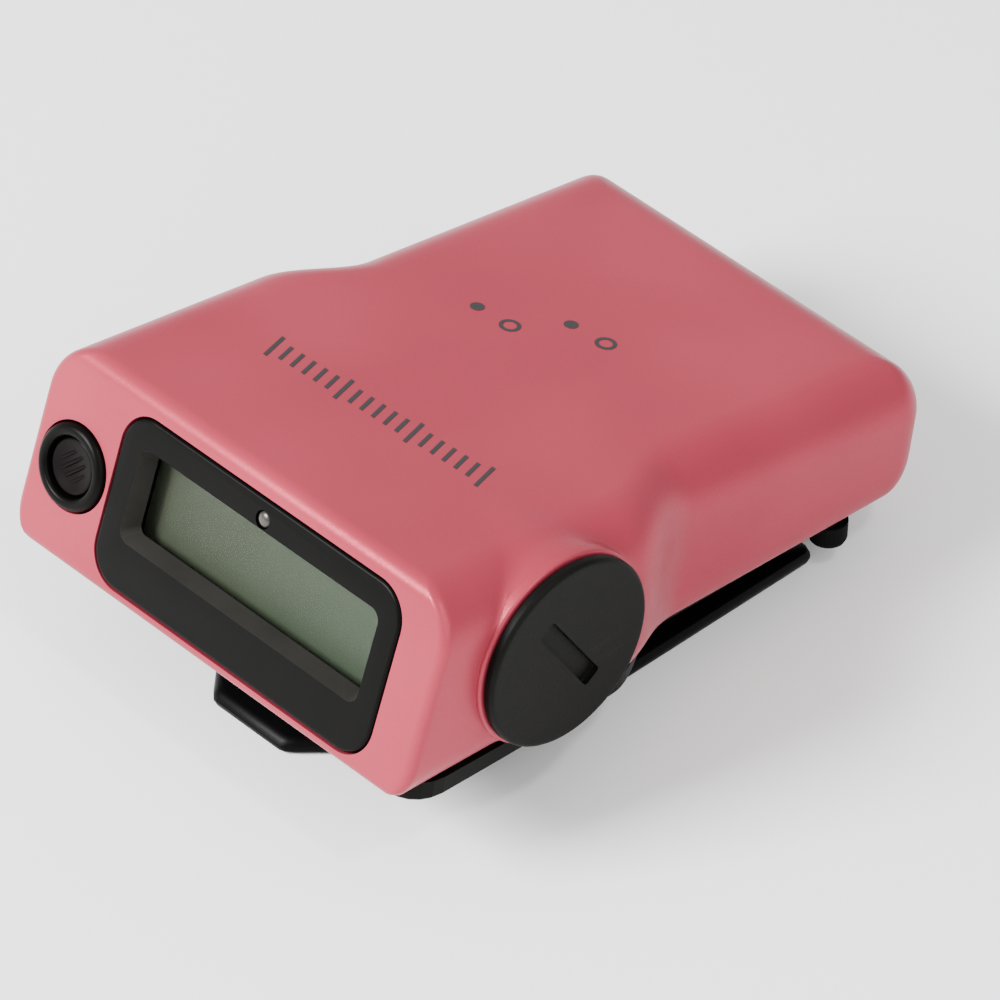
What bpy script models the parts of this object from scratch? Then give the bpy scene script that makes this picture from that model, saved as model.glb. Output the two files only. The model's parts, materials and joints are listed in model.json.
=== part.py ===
"""Pager-style personal radiation dosimeter on a belt clip.

The wedge-shaped case lies on its clip plate.  The world frame has +Z up and its
origin at the middle of the clip plate's outer face, with the display end at -Y.
Three tilted frames hang from it, and each piece is modelled in its own frame:
  case_frame    z = 0 is the case's flat top, y = 0 its front edge, y runs back
  facet_frame   the slanted front: x across, z up the slope, y inwards
  base_frame    z = 0 is the underside of the base below the clip's pivot
"""
import math

import bmesh
import bpy
from mathutils import Matrix, Vector

MM = 0.001
GAP = 0.3 * MM                      # clearance between pieces that seat on each other

# ---- case ------------------------------------------------------------------
CASE_LENGTH = 84.3 * MM             # along the top, front edge to rear face
FRONT_HALF_WIDTH = 34.0 * MM
REAR_HALF_WIDTH = 29.5 * MM
NECK_START = 30.0 * MM              # where the sides begin to draw in
NECK_END = 43.5 * MM
FRONT_HEIGHT = 25.8 * MM            # top to lower edge at y = 0
REAR_HEIGHT = 16.78 * MM            # top to lower edge at the rear face
FACET_LEAN = math.radians(10.3)     # the front face leans back
WALL = 2.2 * MM
SIDE_FILLET = 7.0 * MM              # top edge along the sides
FRONT_FILLET = 2.4 * MM             # top edge along the front
REAR_FILLET = 7.0 * MM              # top edge along the rear
LOWER_FILLET = 4.5 * MM             # height of the rounding of the lower edge
LOWER_FRONT_TUCK = 3.0 * MM         # how far it draws in at the wide front section
LOWER_REAR_TUCK = 1.2 * MM          # the same at the narrow section and the rear
LOWER_FRONT_FILLET = 1.4 * MM
FRONT_CORNER = 2.4 * MM             # plan radius of the front corners
REAR_CORNER = 5.0 * MM
FLANGE = 1.8 * MM                   # thickness of the case's inward lower flange

# ---- base ------------------------------------------------------------------
BASE_FRONT_INSET = 3.6 * MM
BASE_SIDE_INSET = 1.3 * MM          # at the wide front section
BASE_REAR_SIDE_INSET = 2.4 * MM
BASE_REAR_INSET = 3.4 * MM
BASE_FRONT_CORNER = 4.6 * MM
BASE_REAR_CORNER = 4.0 * MM
BASE_FRONT_DEPTH = 3.1 * MM         # below the case's lower edge at y = 0
BASE_REAR_DEPTH = 1.8 * MM          # the same at the rear face
SEAT = 1.2 * MM                     # overlap of the base and the case's flange
GASKET_WIDTH = 0.9 * MM
GASKET_HEIGHT = 1.0 * MM
SPIGOT_HEIGHT = 1.4 * MM
SPIGOT_WALL = 1.4 * MM

# ---- display ---------------------------------------------------------------
BEZEL_CENTRE_X = 3.3 * MM
BEZEL_TOP = 2.75 * MM               # below the front edge, along the slope
BEZEL_WIDTH = 47.2 * MM
BEZEL_HEIGHT = 22.2 * MM
BEZEL_CORNER = 4.5 * MM
BEZEL_DEPTH = 4.2 * MM
BEZEL_PROUD = 0.15 * MM
OPENING_WIDTH = 39.7 * MM
OPENING_HEIGHT = 11.2 * MM
OPENING_TOP = 4.25 * MM             # below the bezel's top edge
OPENING_CORNER = 0.9 * MM
OPENING_TAPER = 0.5 * MM            # the opening narrows this much on each side
WINDOW_DEPTH = 2.6 * MM             # from the facet to the window's face
WINDOW_THICKNESS = 0.8 * MM
WINDOW_LAP = 0.45 * MM              # window edge behind the opening's edge
LCD_THICKNESS = 1.4 * MM
BACKLIGHT_THICKNESS = 1.6 * MM
LCD_BORDER = 1.4 * MM               # glass beyond the opening on each side
LED_RADIUS = 1.0 * MM
LED_DROP = 2.5 * MM                 # LED centre below the bezel's top edge
LED_X = 3.4 * MM
LED_LENGTH = 3.9 * MM

# ---- push button -----------------------------------------------------------
BUTTON_X = -26.7 * MM
BUTTON_DROP = 14.4 * MM             # centre below the front edge, along the slope
RING_RADIUS = 5.4 * MM
RING_PROUD = 0.9 * MM
RING_DEPTH = 3.4 * MM
BUTTON_RADIUS = 3.5 * MM
BUTTON_STEM_RADIUS = 1.6 * MM
BUTTON_LENGTH = 5.6 * MM
BUTTON_TRAVEL = 0.6 * MM
BUTTON_GROOVE_COUNT = 3
BUTTON_GROOVE_PITCH = 1.3 * MM
BUTTON_GROOVE_WIDTH = 0.5 * MM
BUTTON_GROOVE_DEPTH = 0.4 * MM

# ---- battery and its cap ---------------------------------------------------
CELL_RADIUS = 7.25 * MM             # one AA cell
CELL_LENGTH = 49.5 * MM             # without its positive nub
NUB_RADIUS = 2.6 * MM
NUB_LENGTH = 1.0 * MM
CELL_FIT = 0.35 * MM
TUBE_WALL = 1.1 * MM
BATTERY_Y = 17.8 * MM
BATTERY_DROP = 12.2 * MM            # axis below the top
CELL_LEFT = -24.6 * MM              # flat positive end of the cell
CAP_RIM = 1.7 * MM                  # cap beyond the seal's centre line
CAP_FLANGE = 1.3 * MM
CAP_SKIRT_LAND = 0.9 * MM           # skirt beyond the battery tube
CAP_SKIRT_LENGTH = 6.4 * MM
CAP_SKIRT_WALL = 1.5 * MM
SLOT_LENGTH = 13.4 * MM
SLOT_WIDTH = 2.6 * MM
SLOT_DEPTH = 0.9 * MM
SLOT_ANGLE = math.radians(-47.5)    # from +Y in the cap's own plane
BOSS_RIM = 0.4 * MM                 # boss beyond the cap's edge
BOSS_TAPER = 0.7 * MM               # smaller at its root by this
BOSS_ROOT_X = 24.5 * MM
BOSS_PROUD = 0.5 * MM               # beyond the case's side
SEAL_LAND = 1.0 * MM                # seal's centre line beyond the skirt
SEAL_SECTION = 0.55 * MM
SPRING_WIRE = 0.5 * MM
SPRING_TURNS = 3

# ---- belt clip (world frame) -------------------------------------------------
CLIP_LENGTH = 69.6 * MM
CLIP_HALF_WIDTH = 24.4 * MM
CLIP_THICKNESS = 2.0 * MM
TAB_HALF_WIDTH = 6.55 * MM          # straight front edge of the thumb tab
TAB_TAPER = 19.3 * MM               # length of the angled front corners
CLIP_REAR_CHAMFER = 0.8 * MM
CLIP_TILT = math.radians(10.04)     # case top relative to the clip plate
PIVOT_FROM_TAB = 28.3 * MM
PIVOT_HEIGHT = 5.0 * MM             # pin axis above the plate's outer face
PIVOT_CASE_Y = 31.0 * MM            # the pivot's place along the case
PIVOT_DROP = 4.0 * MM               # pin axis below the base
PIN_RADIUS = 1.0 * MM
PIN_HALF_LENGTH = 14.6 * MM
PIN_CLEARANCE = 0.05 * MM
EAR_INNER = 11.6 * MM
EAR_THICKNESS = 2.2 * MM
EAR_RADIUS = 2.5 * MM
LUG_INNER = 8.6 * MM
LUG_THICKNESS = 2.6 * MM
LUG_RADIUS = 2.4 * MM
MOUNT_HALF_LENGTH = 8.5 * MM
MOUNT_THICKNESS = 1.2 * MM
LIP_THICKNESS = 1.8 * MM
LIP_HALF_WIDTH = 19.0 * MM
COIL_RADIUS = 1.6 * MM              # centre line of the torsion spring
COIL_WIRE = 0.3 * MM
COIL_TURNS = 5
COIL_HALF_LENGTH = 6.0 * MM
COIL_LEG = 4.0 * MM

# ---- inside ------------------------------------------------------------------
BOARD_THICKNESS = 1.2 * MM
BOARD_DROP = 13.6 * MM              # top face of the board below the case's top
BOARD_FRONT = 38.5 * MM
BOARD_MARGIN = 2.0 * MM             # board edge to the case's inner wall
MODULE_WIDTH = 23.0 * MM
MODULE_LENGTH = 17.0 * MM
MODULE_HEIGHT = 9.2 * MM
GAMMA_XY = (-13.0 * MM, 50.5 * MM)
NEUTRON_XY = (12.6 * MM, 61.3 * MM)
SHIELD_SIZE = (16.0 * MM, 12.0 * MM, 2.4 * MM)
SHIELD_XY = (13.0 * MM, 46.0 * MM)
SOUNDER_RADIUS = 6.0 * MM
SOUNDER_HEIGHT = 5.0 * MM
SOUNDER_XY = (-12.0 * MM, 66.5 * MM)
MOTOR_RADIUS = 2.6 * MM
MOTOR_LENGTH = 11.0 * MM
MOTOR_Y = 47.0 * MM
WEIGHT_RADIUS = 2.4 * MM
WEIGHT_LENGTH = 3.4 * MM
SHAFT_RADIUS = 0.5 * MM
POST_RADIUS = 2.7 * MM
SCREW_RADIUS = 0.8 * MM
SCREW_LENGTH = 7.0 * MM
SCREW_HEAD_RADIUS = 1.8 * MM
SCREW_HEAD_HEIGHT = 0.7 * MM
FRONT_POST = (26.0 * MM, 34.6 * MM)
REAR_POST = (18.8 * MM, CASE_LENGTH - 10.3 * MM)
FOOT_RADIUS = 2.4 * MM
FOOT_HEIGHT = 3.2 * MM
FOOT_EDGE = 1.8 * MM                # foot centre in from the base's side
FOOT_Y = CASE_LENGTH - 11.0 * MM


# ---- derived sizes and positions -------------------------------------------------
WEDGE_SLOPE = (FRONT_HEIGHT - REAR_HEIGHT) / CASE_LENGTH
TUBE_INNER = CELL_RADIUS + CELL_FIT
TUBE_OUTER = TUBE_INNER + TUBE_WALL
CAP_SKIRT_RADIUS = TUBE_OUTER + CAP_SKIRT_LAND
SEAL_RADIUS = CAP_SKIRT_RADIUS + SEAL_LAND
CAP_RADIUS = SEAL_RADIUS + CAP_RIM
BOSS_RADIUS = CAP_RADIUS + BOSS_RIM
BOSS_ROOT_RADIUS = BOSS_RADIUS - BOSS_TAPER


def smooth_step(t):
    """0 to 1 with level ends."""
    t = min(max(t, 0.0), 1.0)
    return t * t * (3.0 - 2.0 * t)


def half_width(y, front=FRONT_HALF_WIDTH, rear=REAR_HALF_WIDTH):
    """Half the width of the case, or of an outline that follows it, at y."""
    return front + (rear - front) * smooth_step((y - NECK_START) / (NECK_END - NECK_START))


def lower_edge(y):
    """Height of the case's lower edge in the case frame."""
    return -FRONT_HEIGHT + WEDGE_SLOPE * y


def base_slope():
    """Slope of the base's underside in the case frame."""
    return WEDGE_SLOPE + (BASE_FRONT_DEPTH - BASE_REAR_DEPTH) / CASE_LENGTH


def base_under(y):
    """Height of the base's underside in the case frame."""
    return -FRONT_HEIGHT - BASE_FRONT_DEPTH + base_slope() * y


TAN_LEAN = math.tan(FACET_LEAN)
SIDE_X = FRONT_HALF_WIDTH + BOSS_PROUD
BORE_RADIUS = CAP_SKIRT_RADIUS + GAP
CELL_RIGHT = CELL_LEFT + CELL_LENGTH
CAP_SEAT_X = SIDE_X + GAP
SKIRT_END_X = CAP_SEAT_X - CAP_SKIRT_LENGTH
BATTERY_Z = -BATTERY_DROP
BASE_REAR_HALF = REAR_HALF_WIDTH - BASE_REAR_SIDE_INSET
BASE_ANGLE = math.atan(base_slope())
PIVOT_WORLD = Vector((0.0, -CLIP_LENGTH / 2 + PIVOT_FROM_TAB, PIVOT_HEIGHT))
TILT = Matrix.Rotation(-CLIP_TILT, 4, "X")
BASE_TURN = Matrix.Rotation(BASE_ANGLE, 4, "X")
PIVOT_FOOT = Vector((0.0, PIVOT_CASE_Y, base_under(PIVOT_CASE_Y)))
PIVOT_CASE = PIVOT_FOOT + BASE_TURN @ Vector((0.0, 0.0, -PIVOT_DROP))
CASE_ORIGIN = PIVOT_WORLD - TILT @ PIVOT_CASE


# ---- scene helpers ---------------------------------------------------------------
def clear_scene():
    for thing in list(bpy.data.objects):
        bpy.data.objects.remove(thing, do_unlink=True)


def material(name, colour, roughness, metallic=0.0):
    """A Principled BSDF with plain values."""
    mat = bpy.data.materials.new(name)
    mat.use_nodes = True
    shader = mat.node_tree.nodes["Principled BSDF"]
    shader.inputs["Base Color"].default_value = (*colour, 1.0)
    shader.inputs["Roughness"].default_value = roughness
    shader.inputs["Metallic"].default_value = metallic
    mat.diffuse_color = (*colour, 1.0)
    return mat


def empty(name, parent=None, location=(0, 0, 0), tilt=0.0):
    frame = bpy.data.objects.new(name, None)
    bpy.context.collection.objects.link(frame)
    frame.parent = parent
    frame.location = location
    frame.rotation_euler = (tilt, 0.0, 0.0)
    frame.empty_display_size = 10 * MM
    return frame


def add_object(name, bm, mat, parent, location=(0, 0, 0), rotation=(0, 0, 0), sharp=35.0):
    """Turn a bmesh into a smooth-shaded object with crisp edges past the angle."""
    bmesh.ops.remove_doubles(bm, verts=bm.verts, dist=1e-6)
    bmesh.ops.recalc_face_normals(bm, faces=bm.faces)
    mesh = bpy.data.meshes.new(name)
    bm.to_mesh(mesh)
    bm.free()
    mesh.materials.append(mat)
    mesh.shade_smooth()
    mesh.set_sharp_from_angle(angle=math.radians(sharp))
    thing = bpy.data.objects.new(name, mesh)
    bpy.context.collection.objects.link(thing)
    thing.parent = parent
    thing.location = location
    thing.rotation_euler = rotation
    return thing


def boolean(target, operation, bm, name, location=(0, 0, 0), rotation=(0, 0, 0)):
    """Cut or join a hidden helper shape, given in the target's parent frame."""
    tool = add_object(name, bm, target.data.materials[0], target.parent, location, rotation)
    tool.hide_render = True
    tool.display_type = "WIRE"
    mod = target.modifiers.new(name, "BOOLEAN")
    mod.operation = operation
    mod.solver = "EXACT"
    mod.object = tool


# ---- shape helpers ---------------------------------------------------------------
def loft(rings, bm=None):
    """Closed solid through rings of equal point count, with flat end caps."""
    bm = bm or bmesh.new()
    loops = [[bm.verts.new(p) for p in ring] for ring in rings]
    for low, high in zip(loops, loops[1:]):
        for i in range(len(low)):
            j = (i + 1) % len(low)
            bm.faces.new((low[i], low[j], high[j], high[i]))
    bm.faces.new(loops[0][::-1])
    bm.faces.new(loops[-1])
    return bm


def turned(profile, segments=32, bm=None, place=Matrix()):
    """Solid of revolution about local z from (radius, height) points, bottom to top.

    A first or last radius of zero closes that end at a point on the axis.
    """
    bm = bm or bmesh.new()
    loops = []
    for radius, height in profile:
        if radius == 0.0:
            loops.append([bm.verts.new(place @ Vector((0, 0, height)))])
            continue
        ring = []
        for i in range(segments):
            a = 2 * math.pi * i / segments
            ring.append(bm.verts.new(place @ Vector((radius * math.cos(a), radius * math.sin(a), height))))
        loops.append(ring)
    for low, high in zip(loops, loops[1:]):
        for i in range(segments):
            j = (i + 1) % segments
            quad = (low[i % len(low)], low[j % len(low)], high[j % len(high)], high[i % len(high)])
            bm.faces.new(list(dict.fromkeys(quad)))
    for loop, flip in ((loops[0], True), (loops[-1], False)):
        if len(loop) > 1:
            bm.faces.new(loop[::-1] if flip else loop)
    return bm


def turned_ring(profile, segments=32, bm=None, place=Matrix()):
    """Closed band of revolution from a closed (radius, height) outline."""
    bm = bm or bmesh.new()
    loops = []
    for i in range(segments):
        a = 2 * math.pi * i / segments
        loops.append([bm.verts.new(place @ Vector((r * math.cos(a), r * math.sin(a), h)))
                      for r, h in profile])
    for i in range(segments):
        here, there = loops[i], loops[(i + 1) % segments]
        for k in range(len(profile)):
            n = (k + 1) % len(profile)
            bm.faces.new((here[k], there[k], there[n], here[n]))
    return bm


def block(size, centre=(0, 0, 0), bevel=0.0, bm=None):
    """Box of the given size with all of its edges chamfered by the bevel."""
    part = bmesh.new()
    bmesh.ops.create_cube(part, size=1.0)
    bmesh.ops.scale(part, vec=size, verts=part.verts)
    if bevel > 0:
        bmesh.ops.bevel(part, geom=part.edges[:], offset=bevel, segments=1, affect="EDGES")
    bmesh.ops.translate(part, vec=centre, verts=part.verts)
    if bm is None:
        return part
    return merge(bm, part)


def merge(bm, part):
    """Add one bmesh's geometry to another and free it."""
    scratch = bpy.data.meshes.new("scratch")
    part.to_mesh(scratch)
    part.free()
    bm.from_mesh(scratch)
    bpy.data.meshes.remove(scratch)
    return bm


def rounded_rectangle(width, height, radius, steps=5):
    """Counter-clockwise (x, z) outline centred on the origin."""
    points = []
    for k, (sx, sz) in enumerate(((1, -1), (1, 1), (-1, 1), (-1, -1))):
        cx = sx * (width / 2 - radius)
        cz = sz * (height / 2 - radius)
        for i in range(steps + 1):
            a = math.radians(-90 + 90 * k + 90 * i / steps)
            points.append((cx + radius * math.cos(a), cz + radius * math.sin(a)))
    return points


def plate_xz(layers, centre_x, centre_z):
    """Loft of (x, z) outlines at increasing y, for pieces that face along y."""
    return loft([[(centre_x + x, y, centre_z + z) for x, z in outline] for outline, y in layers])


def extruded(outline, low, high):
    """Prism over an (x, y) outline."""
    return loft([[(x, y, z) for x, y in outline] for z in (low, high)])


def wire(points, radius, sides=8):
    """Round wire with flat ends along a smooth run of points."""
    path = [Vector(p) for p in points]
    rings = []
    normal = None
    for i, point in enumerate(path):
        ahead = path[min(i + 1, len(path) - 1)]
        behind = path[max(i - 1, 0)]
        tangent = (ahead - behind).normalized()
        if normal is None:
            helper = Vector((0, 0, 1)) if abs(tangent.z) < 0.9 else Vector((1, 0, 0))
            normal = tangent.cross(helper).normalized()
        normal = (normal - tangent * normal.dot(tangent)).normalized()
        side = tangent.cross(normal)
        rings.append([point + radius * (math.cos(a) * normal + math.sin(a) * side)
                      for a in (2 * math.pi * k / sides for k in range(sides))])
    return loft(rings)


def along_x(x=0.0, y=0.0, z=0.0):
    """Places a turned piece's axis along +x."""
    return Matrix.Translation((x, y, z)) @ Matrix.Rotation(math.pi / 2, 4, "Y")


# ---- case outline ------------------------------------------------------------------
SIDE_STEPS = 14
CORNER_STEPS = 5


def fillet_inset(depth, radius):
    """How far a rounded edge draws in at a depth below its flat face."""
    if depth >= radius:
        return 0.0
    return radius - math.sqrt(max(radius * radius - (radius - depth) ** 2, 0.0))


def plan_outline(front_y, rear_y, side_inset, front_corner, rear_corner,
                 front_half=FRONT_HALF_WIDTH, rear_half=REAR_HALF_WIDTH):
    """Counter-clockwise (x, y) plan of the necked case, with rounded corners."""
    right = []
    corner_x = half_width(front_y, front_half, rear_half) - side_inset
    for i in range(CORNER_STEPS + 1):
        a = math.radians(-90 + 90 * i / CORNER_STEPS)
        right.append((corner_x - front_corner + front_corner * math.cos(a),
                      front_y + front_corner + front_corner * math.sin(a)))
    start = front_y + front_corner
    end = rear_y - rear_corner
    stops = [NECK_START + (NECK_END - NECK_START) * i / SIDE_STEPS for i in range(SIDE_STEPS + 1)]
    stops = [s for s in stops if start < s < end]
    for y in stops:
        right.append((half_width(y, front_half, rear_half) - side_inset, y))
    corner_x = half_width(end, front_half, rear_half) - side_inset
    for i in range(CORNER_STEPS + 1):
        a = math.radians(90 * i / CORNER_STEPS)
        right.append((corner_x - rear_corner + rear_corner * math.cos(a),
                      end + rear_corner * math.sin(a)))
    return right + [(-x, y) for x, y in reversed(right)]


def case_ring(depth, inset=0.0):
    """Ring of the case's skin at a depth below the flat top, moved in by inset."""
    side = fillet_inset(depth - inset, SIDE_FILLET - inset) + inset
    front = fillet_inset(depth - inset, FRONT_FILLET) + inset
    rear = fillet_inset(depth - inset, REAR_FILLET - inset) + inset
    plan = plan_outline(-depth * TAN_LEAN + front, CASE_LENGTH - rear, side,
                        max(FRONT_CORNER - front / 2, 0.5 * MM), max(REAR_CORNER - rear, 0.8 * MM))
    return [(x, y, -depth) for x, y in plan]


def lower_ring(height, inset=0.0):
    """Ring at a height above the case's sloping lower edge."""
    tuck = fillet_inset(height, LOWER_FILLET) / LOWER_FILLET
    front_half = FRONT_HALF_WIDTH - tuck * LOWER_FRONT_TUCK
    rear_half = REAR_HALF_WIDTH - tuck * LOWER_REAR_TUCK
    front = fillet_inset(height, LOWER_FRONT_FILLET) + inset
    front_y = (height - FRONT_HEIGHT) * TAN_LEAN / (1.0 - WEDGE_SLOPE * TAN_LEAN) + front
    rear_y = CASE_LENGTH - tuck * LOWER_REAR_TUCK - inset
    plan = plan_outline(front_y, rear_y, inset, FRONT_CORNER, REAR_CORNER, front_half, rear_half)
    return [(x, y, lower_edge(y) + height) for x, y in plan]


def base_plan(inset=0.0):
    """Plan of the base and, with an inset, of the case's lower opening."""
    front_y = -FRONT_HEIGHT * TAN_LEAN + BASE_FRONT_INSET + inset
    return plan_outline(front_y, CASE_LENGTH - BASE_REAR_INSET - inset, inset,
                        BASE_FRONT_CORNER - inset, BASE_REAR_CORNER - inset / 2,
                        FRONT_HALF_WIDTH - BASE_SIDE_INSET, BASE_REAR_HALF)


def over_edge(plan, height):
    """A plan placed at a height above the case's lower edge."""
    return [(x, y, lower_edge(y) + height) for x, y in plan]


# ---- case and base -------------------------------------------------------------------
def make_case(frame, facet, mat):
    depths = [SIDE_FILLET * (1 - math.cos(math.pi / 2 * i / 7)) for i in range(8)]
    outer = [case_ring(d) for d in reversed(depths)]
    low = [lower_ring(LOWER_FILLET * (1 - math.cos(math.pi / 2 * i / 4))) for i in range(5)]
    case = add_object("top_case", loft(low + outer), mat, frame)
    inner_depths = [WALL + (SIDE_FILLET - WALL) * (1 - math.cos(math.pi / 2 * i / 4)) for i in range(5)]
    inner = [case_ring(d, WALL) for d in reversed(inner_depths)]
    floor = lower_ring(FLANGE + LOWER_FILLET, WALL)
    floor = [(x, y, z - LOWER_FILLET) for x, y, z in floor]
    boolean(case, "DIFFERENCE", loft([floor] + inner), "case_cavity")
    opening = base_plan(SEAT)
    boolean(case, "DIFFERENCE", loft([over_edge(opening, -FLANGE), over_edge(opening, 2 * FLANGE)]),
            "case_mouth")
    boss = turned([(BOSS_ROOT_RADIUS, 0.0), (BOSS_RADIUS - 0.4 * MM, SIDE_X - BOSS_ROOT_X - 0.9 * MM),
                   (BOSS_RADIUS, SIDE_X - BOSS_ROOT_X - 0.5 * MM),
                   (BOSS_RADIUS, SIDE_X - BOSS_ROOT_X - 0.3 * MM),
                   (BOSS_RADIUS - 0.3 * MM, SIDE_X - BOSS_ROOT_X)], 64,
                  place=along_x(BOSS_ROOT_X, BATTERY_Y, BATTERY_Z))
    boolean(case, "UNION", boss, "case_boss")
    posts = bmesh.new()
    for x, y in post_places():
        top = -WALL / 2
        foot = lower_edge(y) + SPIGOT_HEIGHT + GAP
        turned([(POST_RADIUS, foot), (POST_RADIUS, top)], 20, posts, Matrix.Translation((x, y, 0)))
    boolean(case, "UNION", posts, "case_posts")
    cuts = bmesh.new()
    bore = along_x(0, BATTERY_Y, BATTERY_Z)
    turned([(BORE_RADIUS, BOSS_ROOT_X - GAP * 3), (BORE_RADIUS, SIDE_X - SEAL_SECTION * 2),
            (SEAL_RADIUS + SEAL_SECTION + GAP, SIDE_X - SEAL_SECTION * 2),
            (SEAL_RADIUS + SEAL_SECTION + GAP, SIDE_X + CAP_FLANGE)], 64, cuts, bore)
    for x, y in post_places():
        turned([(SCREW_RADIUS + GAP, -FLANGE), (SCREW_RADIUS + GAP, SCREW_LENGTH + GAP)], 16, cuts,
               square_to_base(x, y))
    boolean(case, "DIFFERENCE", cuts, "case_bores")
    window = rounded_rectangle(BEZEL_WIDTH + 2 * GAP, BEZEL_HEIGHT + 2 * GAP, BEZEL_CORNER + GAP)
    centre_z = -BEZEL_TOP - BEZEL_HEIGHT / 2
    hole = plate_xz([(window, -WALL), (window, BEZEL_DEPTH + GAP)], BEZEL_CENTRE_X, centre_z)
    turned([(RING_RADIUS + GAP, -RING_DEPTH - GAP), (RING_RADIUS + GAP, WALL)], 40, hole,
           facing_out(BUTTON_X, 0.0, -BUTTON_DROP))
    place_on_facet(case, "DIFFERENCE", hole, "case_windows", facet)
    return case


def place_on_facet(target, operation, bm, name, facet):
    """A cutter that is given in the facet's frame."""
    boolean(target, operation, bm, name)
    bpy.data.objects[name].parent = facet


def facing_out(x, y, z):
    """Places a turned piece's axis out of the facet (towards -y)."""
    return Matrix.Translation((x, y, z)) @ Matrix.Rotation(math.pi / 2, 4, "X")


def post_places():
    """Where the four case screws stand, in the case frame."""
    return [(sx * x, y) for x, y in (FRONT_POST, REAR_POST) for sx in (-1, 1)]


def square_to_base(x, y):
    """Places a turned piece at right angles to the base's underside."""
    return Matrix.Translation((x, y, base_under(y))) @ BASE_TURN


def make_base(frame, mat):
    plan = base_plan()
    spigot = base_plan(SEAT + 2 * GAP + GASKET_WIDTH)
    pocket = base_plan(SEAT + 2 * GAP + GASKET_WIDTH + SPIGOT_WALL)
    under = [(x, y, base_under(y)) for x, y in plan]
    edge = 0.5 * MM
    under_in = [(x, y, base_under(y)) for x, y in base_plan(edge)]
    under_up = [(x, y, z + edge) for x, y, z in under]
    rings = [under_in, under_up, over_edge(plan, -GAP), over_edge(spigot, -GAP),
             over_edge(spigot, SPIGOT_HEIGHT), over_edge(pocket, SPIGOT_HEIGHT), over_edge(pocket, -GAP)]
    base = add_object("base_cover", loft(rings), mat, frame)
    cuts = turned([(BOSS_RADIUS + GAP, BOSS_ROOT_X - GAP), (BOSS_RADIUS + GAP, SIDE_X * 1.2)], 64,
                  place=along_x(0, BATTERY_Y, BATTERY_Z))
    for x, y in post_places():
        turned([(SCREW_RADIUS + GAP, -FLANGE), (SCREW_RADIUS + GAP, SCREW_LENGTH)], 16, cuts,
               square_to_base(x, y))
    boolean(base, "DIFFERENCE", cuts, "base_bores")
    return base


def make_gasket(frame, mat):
    outer = base_plan(SEAT + GAP)
    inner = base_plan(SEAT + GAP + GASKET_WIDTH)
    rings = [over_edge(outer, 0), over_edge(outer, GASKET_HEIGHT), over_edge(inner, GASKET_HEIGHT),
             over_edge(inner, 0)]
    bm = bmesh.new()
    loops = [[bm.verts.new(p) for p in ring] for ring in rings]
    for k in range(4):
        low, high = loops[k], loops[(k + 1) % 4]
        for i in range(len(low)):
            j = (i + 1) % len(low)
            bm.faces.new((low[i], low[j], high[j], high[i]))
    gasket = add_object("case_gasket", bm, mat, frame)
    cut = turned([(BOSS_RADIUS + 2 * GAP, BOSS_ROOT_X - 2 * GAP), (BOSS_RADIUS + 2 * GAP, SIDE_X)], 64,
                 place=along_x(0, BATTERY_Y, BATTERY_Z))
    boolean(gasket, "DIFFERENCE", cut, "gasket_relief")


def make_screws(frame, mat):
    """Pan-head screws up through the base into the case's posts."""
    names = ("case_screw_front_left", "case_screw_front_right", "case_screw_rear_left",
             "case_screw_rear_right")
    for name, (x, y) in zip(names, post_places()):
        top = base_under(y) - GAP
        turn = [(SCREW_HEAD_RADIUS * 0.8, -SCREW_HEAD_HEIGHT), (SCREW_HEAD_RADIUS, -SCREW_HEAD_HEIGHT * 0.5),
                (SCREW_HEAD_RADIUS, 0.0), (SCREW_RADIUS, 0.0), (SCREW_RADIUS, SCREW_LENGTH)]
        screw = add_object(name, turned(turn, 20), mat, frame, (x, y, top), (BASE_ANGLE, 0, 0))
        slot = block((SCREW_HEAD_RADIUS * 1.3, 0.5 * MM, 0.5 * MM), (0, 0, -SCREW_HEAD_HEIGHT))
        boolean(screw, "DIFFERENCE", slot, name + "_slot", (x, y, top), (BASE_ANGLE, 0, 0))


def make_feet(frame, mat):
    for name, side in (("rear_foot_left", -1), ("rear_foot_right", 1)):
        x = side * (BASE_REAR_HALF - FOOT_EDGE)
        top = base_under(FOOT_Y) - GAP
        profile = [(FOOT_RADIUS - 0.7 * MM, -FOOT_HEIGHT), (FOOT_RADIUS - 0.2 * MM, -FOOT_HEIGHT + 0.3 * MM),
                   (FOOT_RADIUS, -FOOT_HEIGHT + 0.8 * MM), (FOOT_RADIUS, 0.0)]
        add_object(name, turned(profile, 28), mat, frame, (x, FOOT_Y, top), (BASE_ANGLE, 0, 0))


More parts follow.
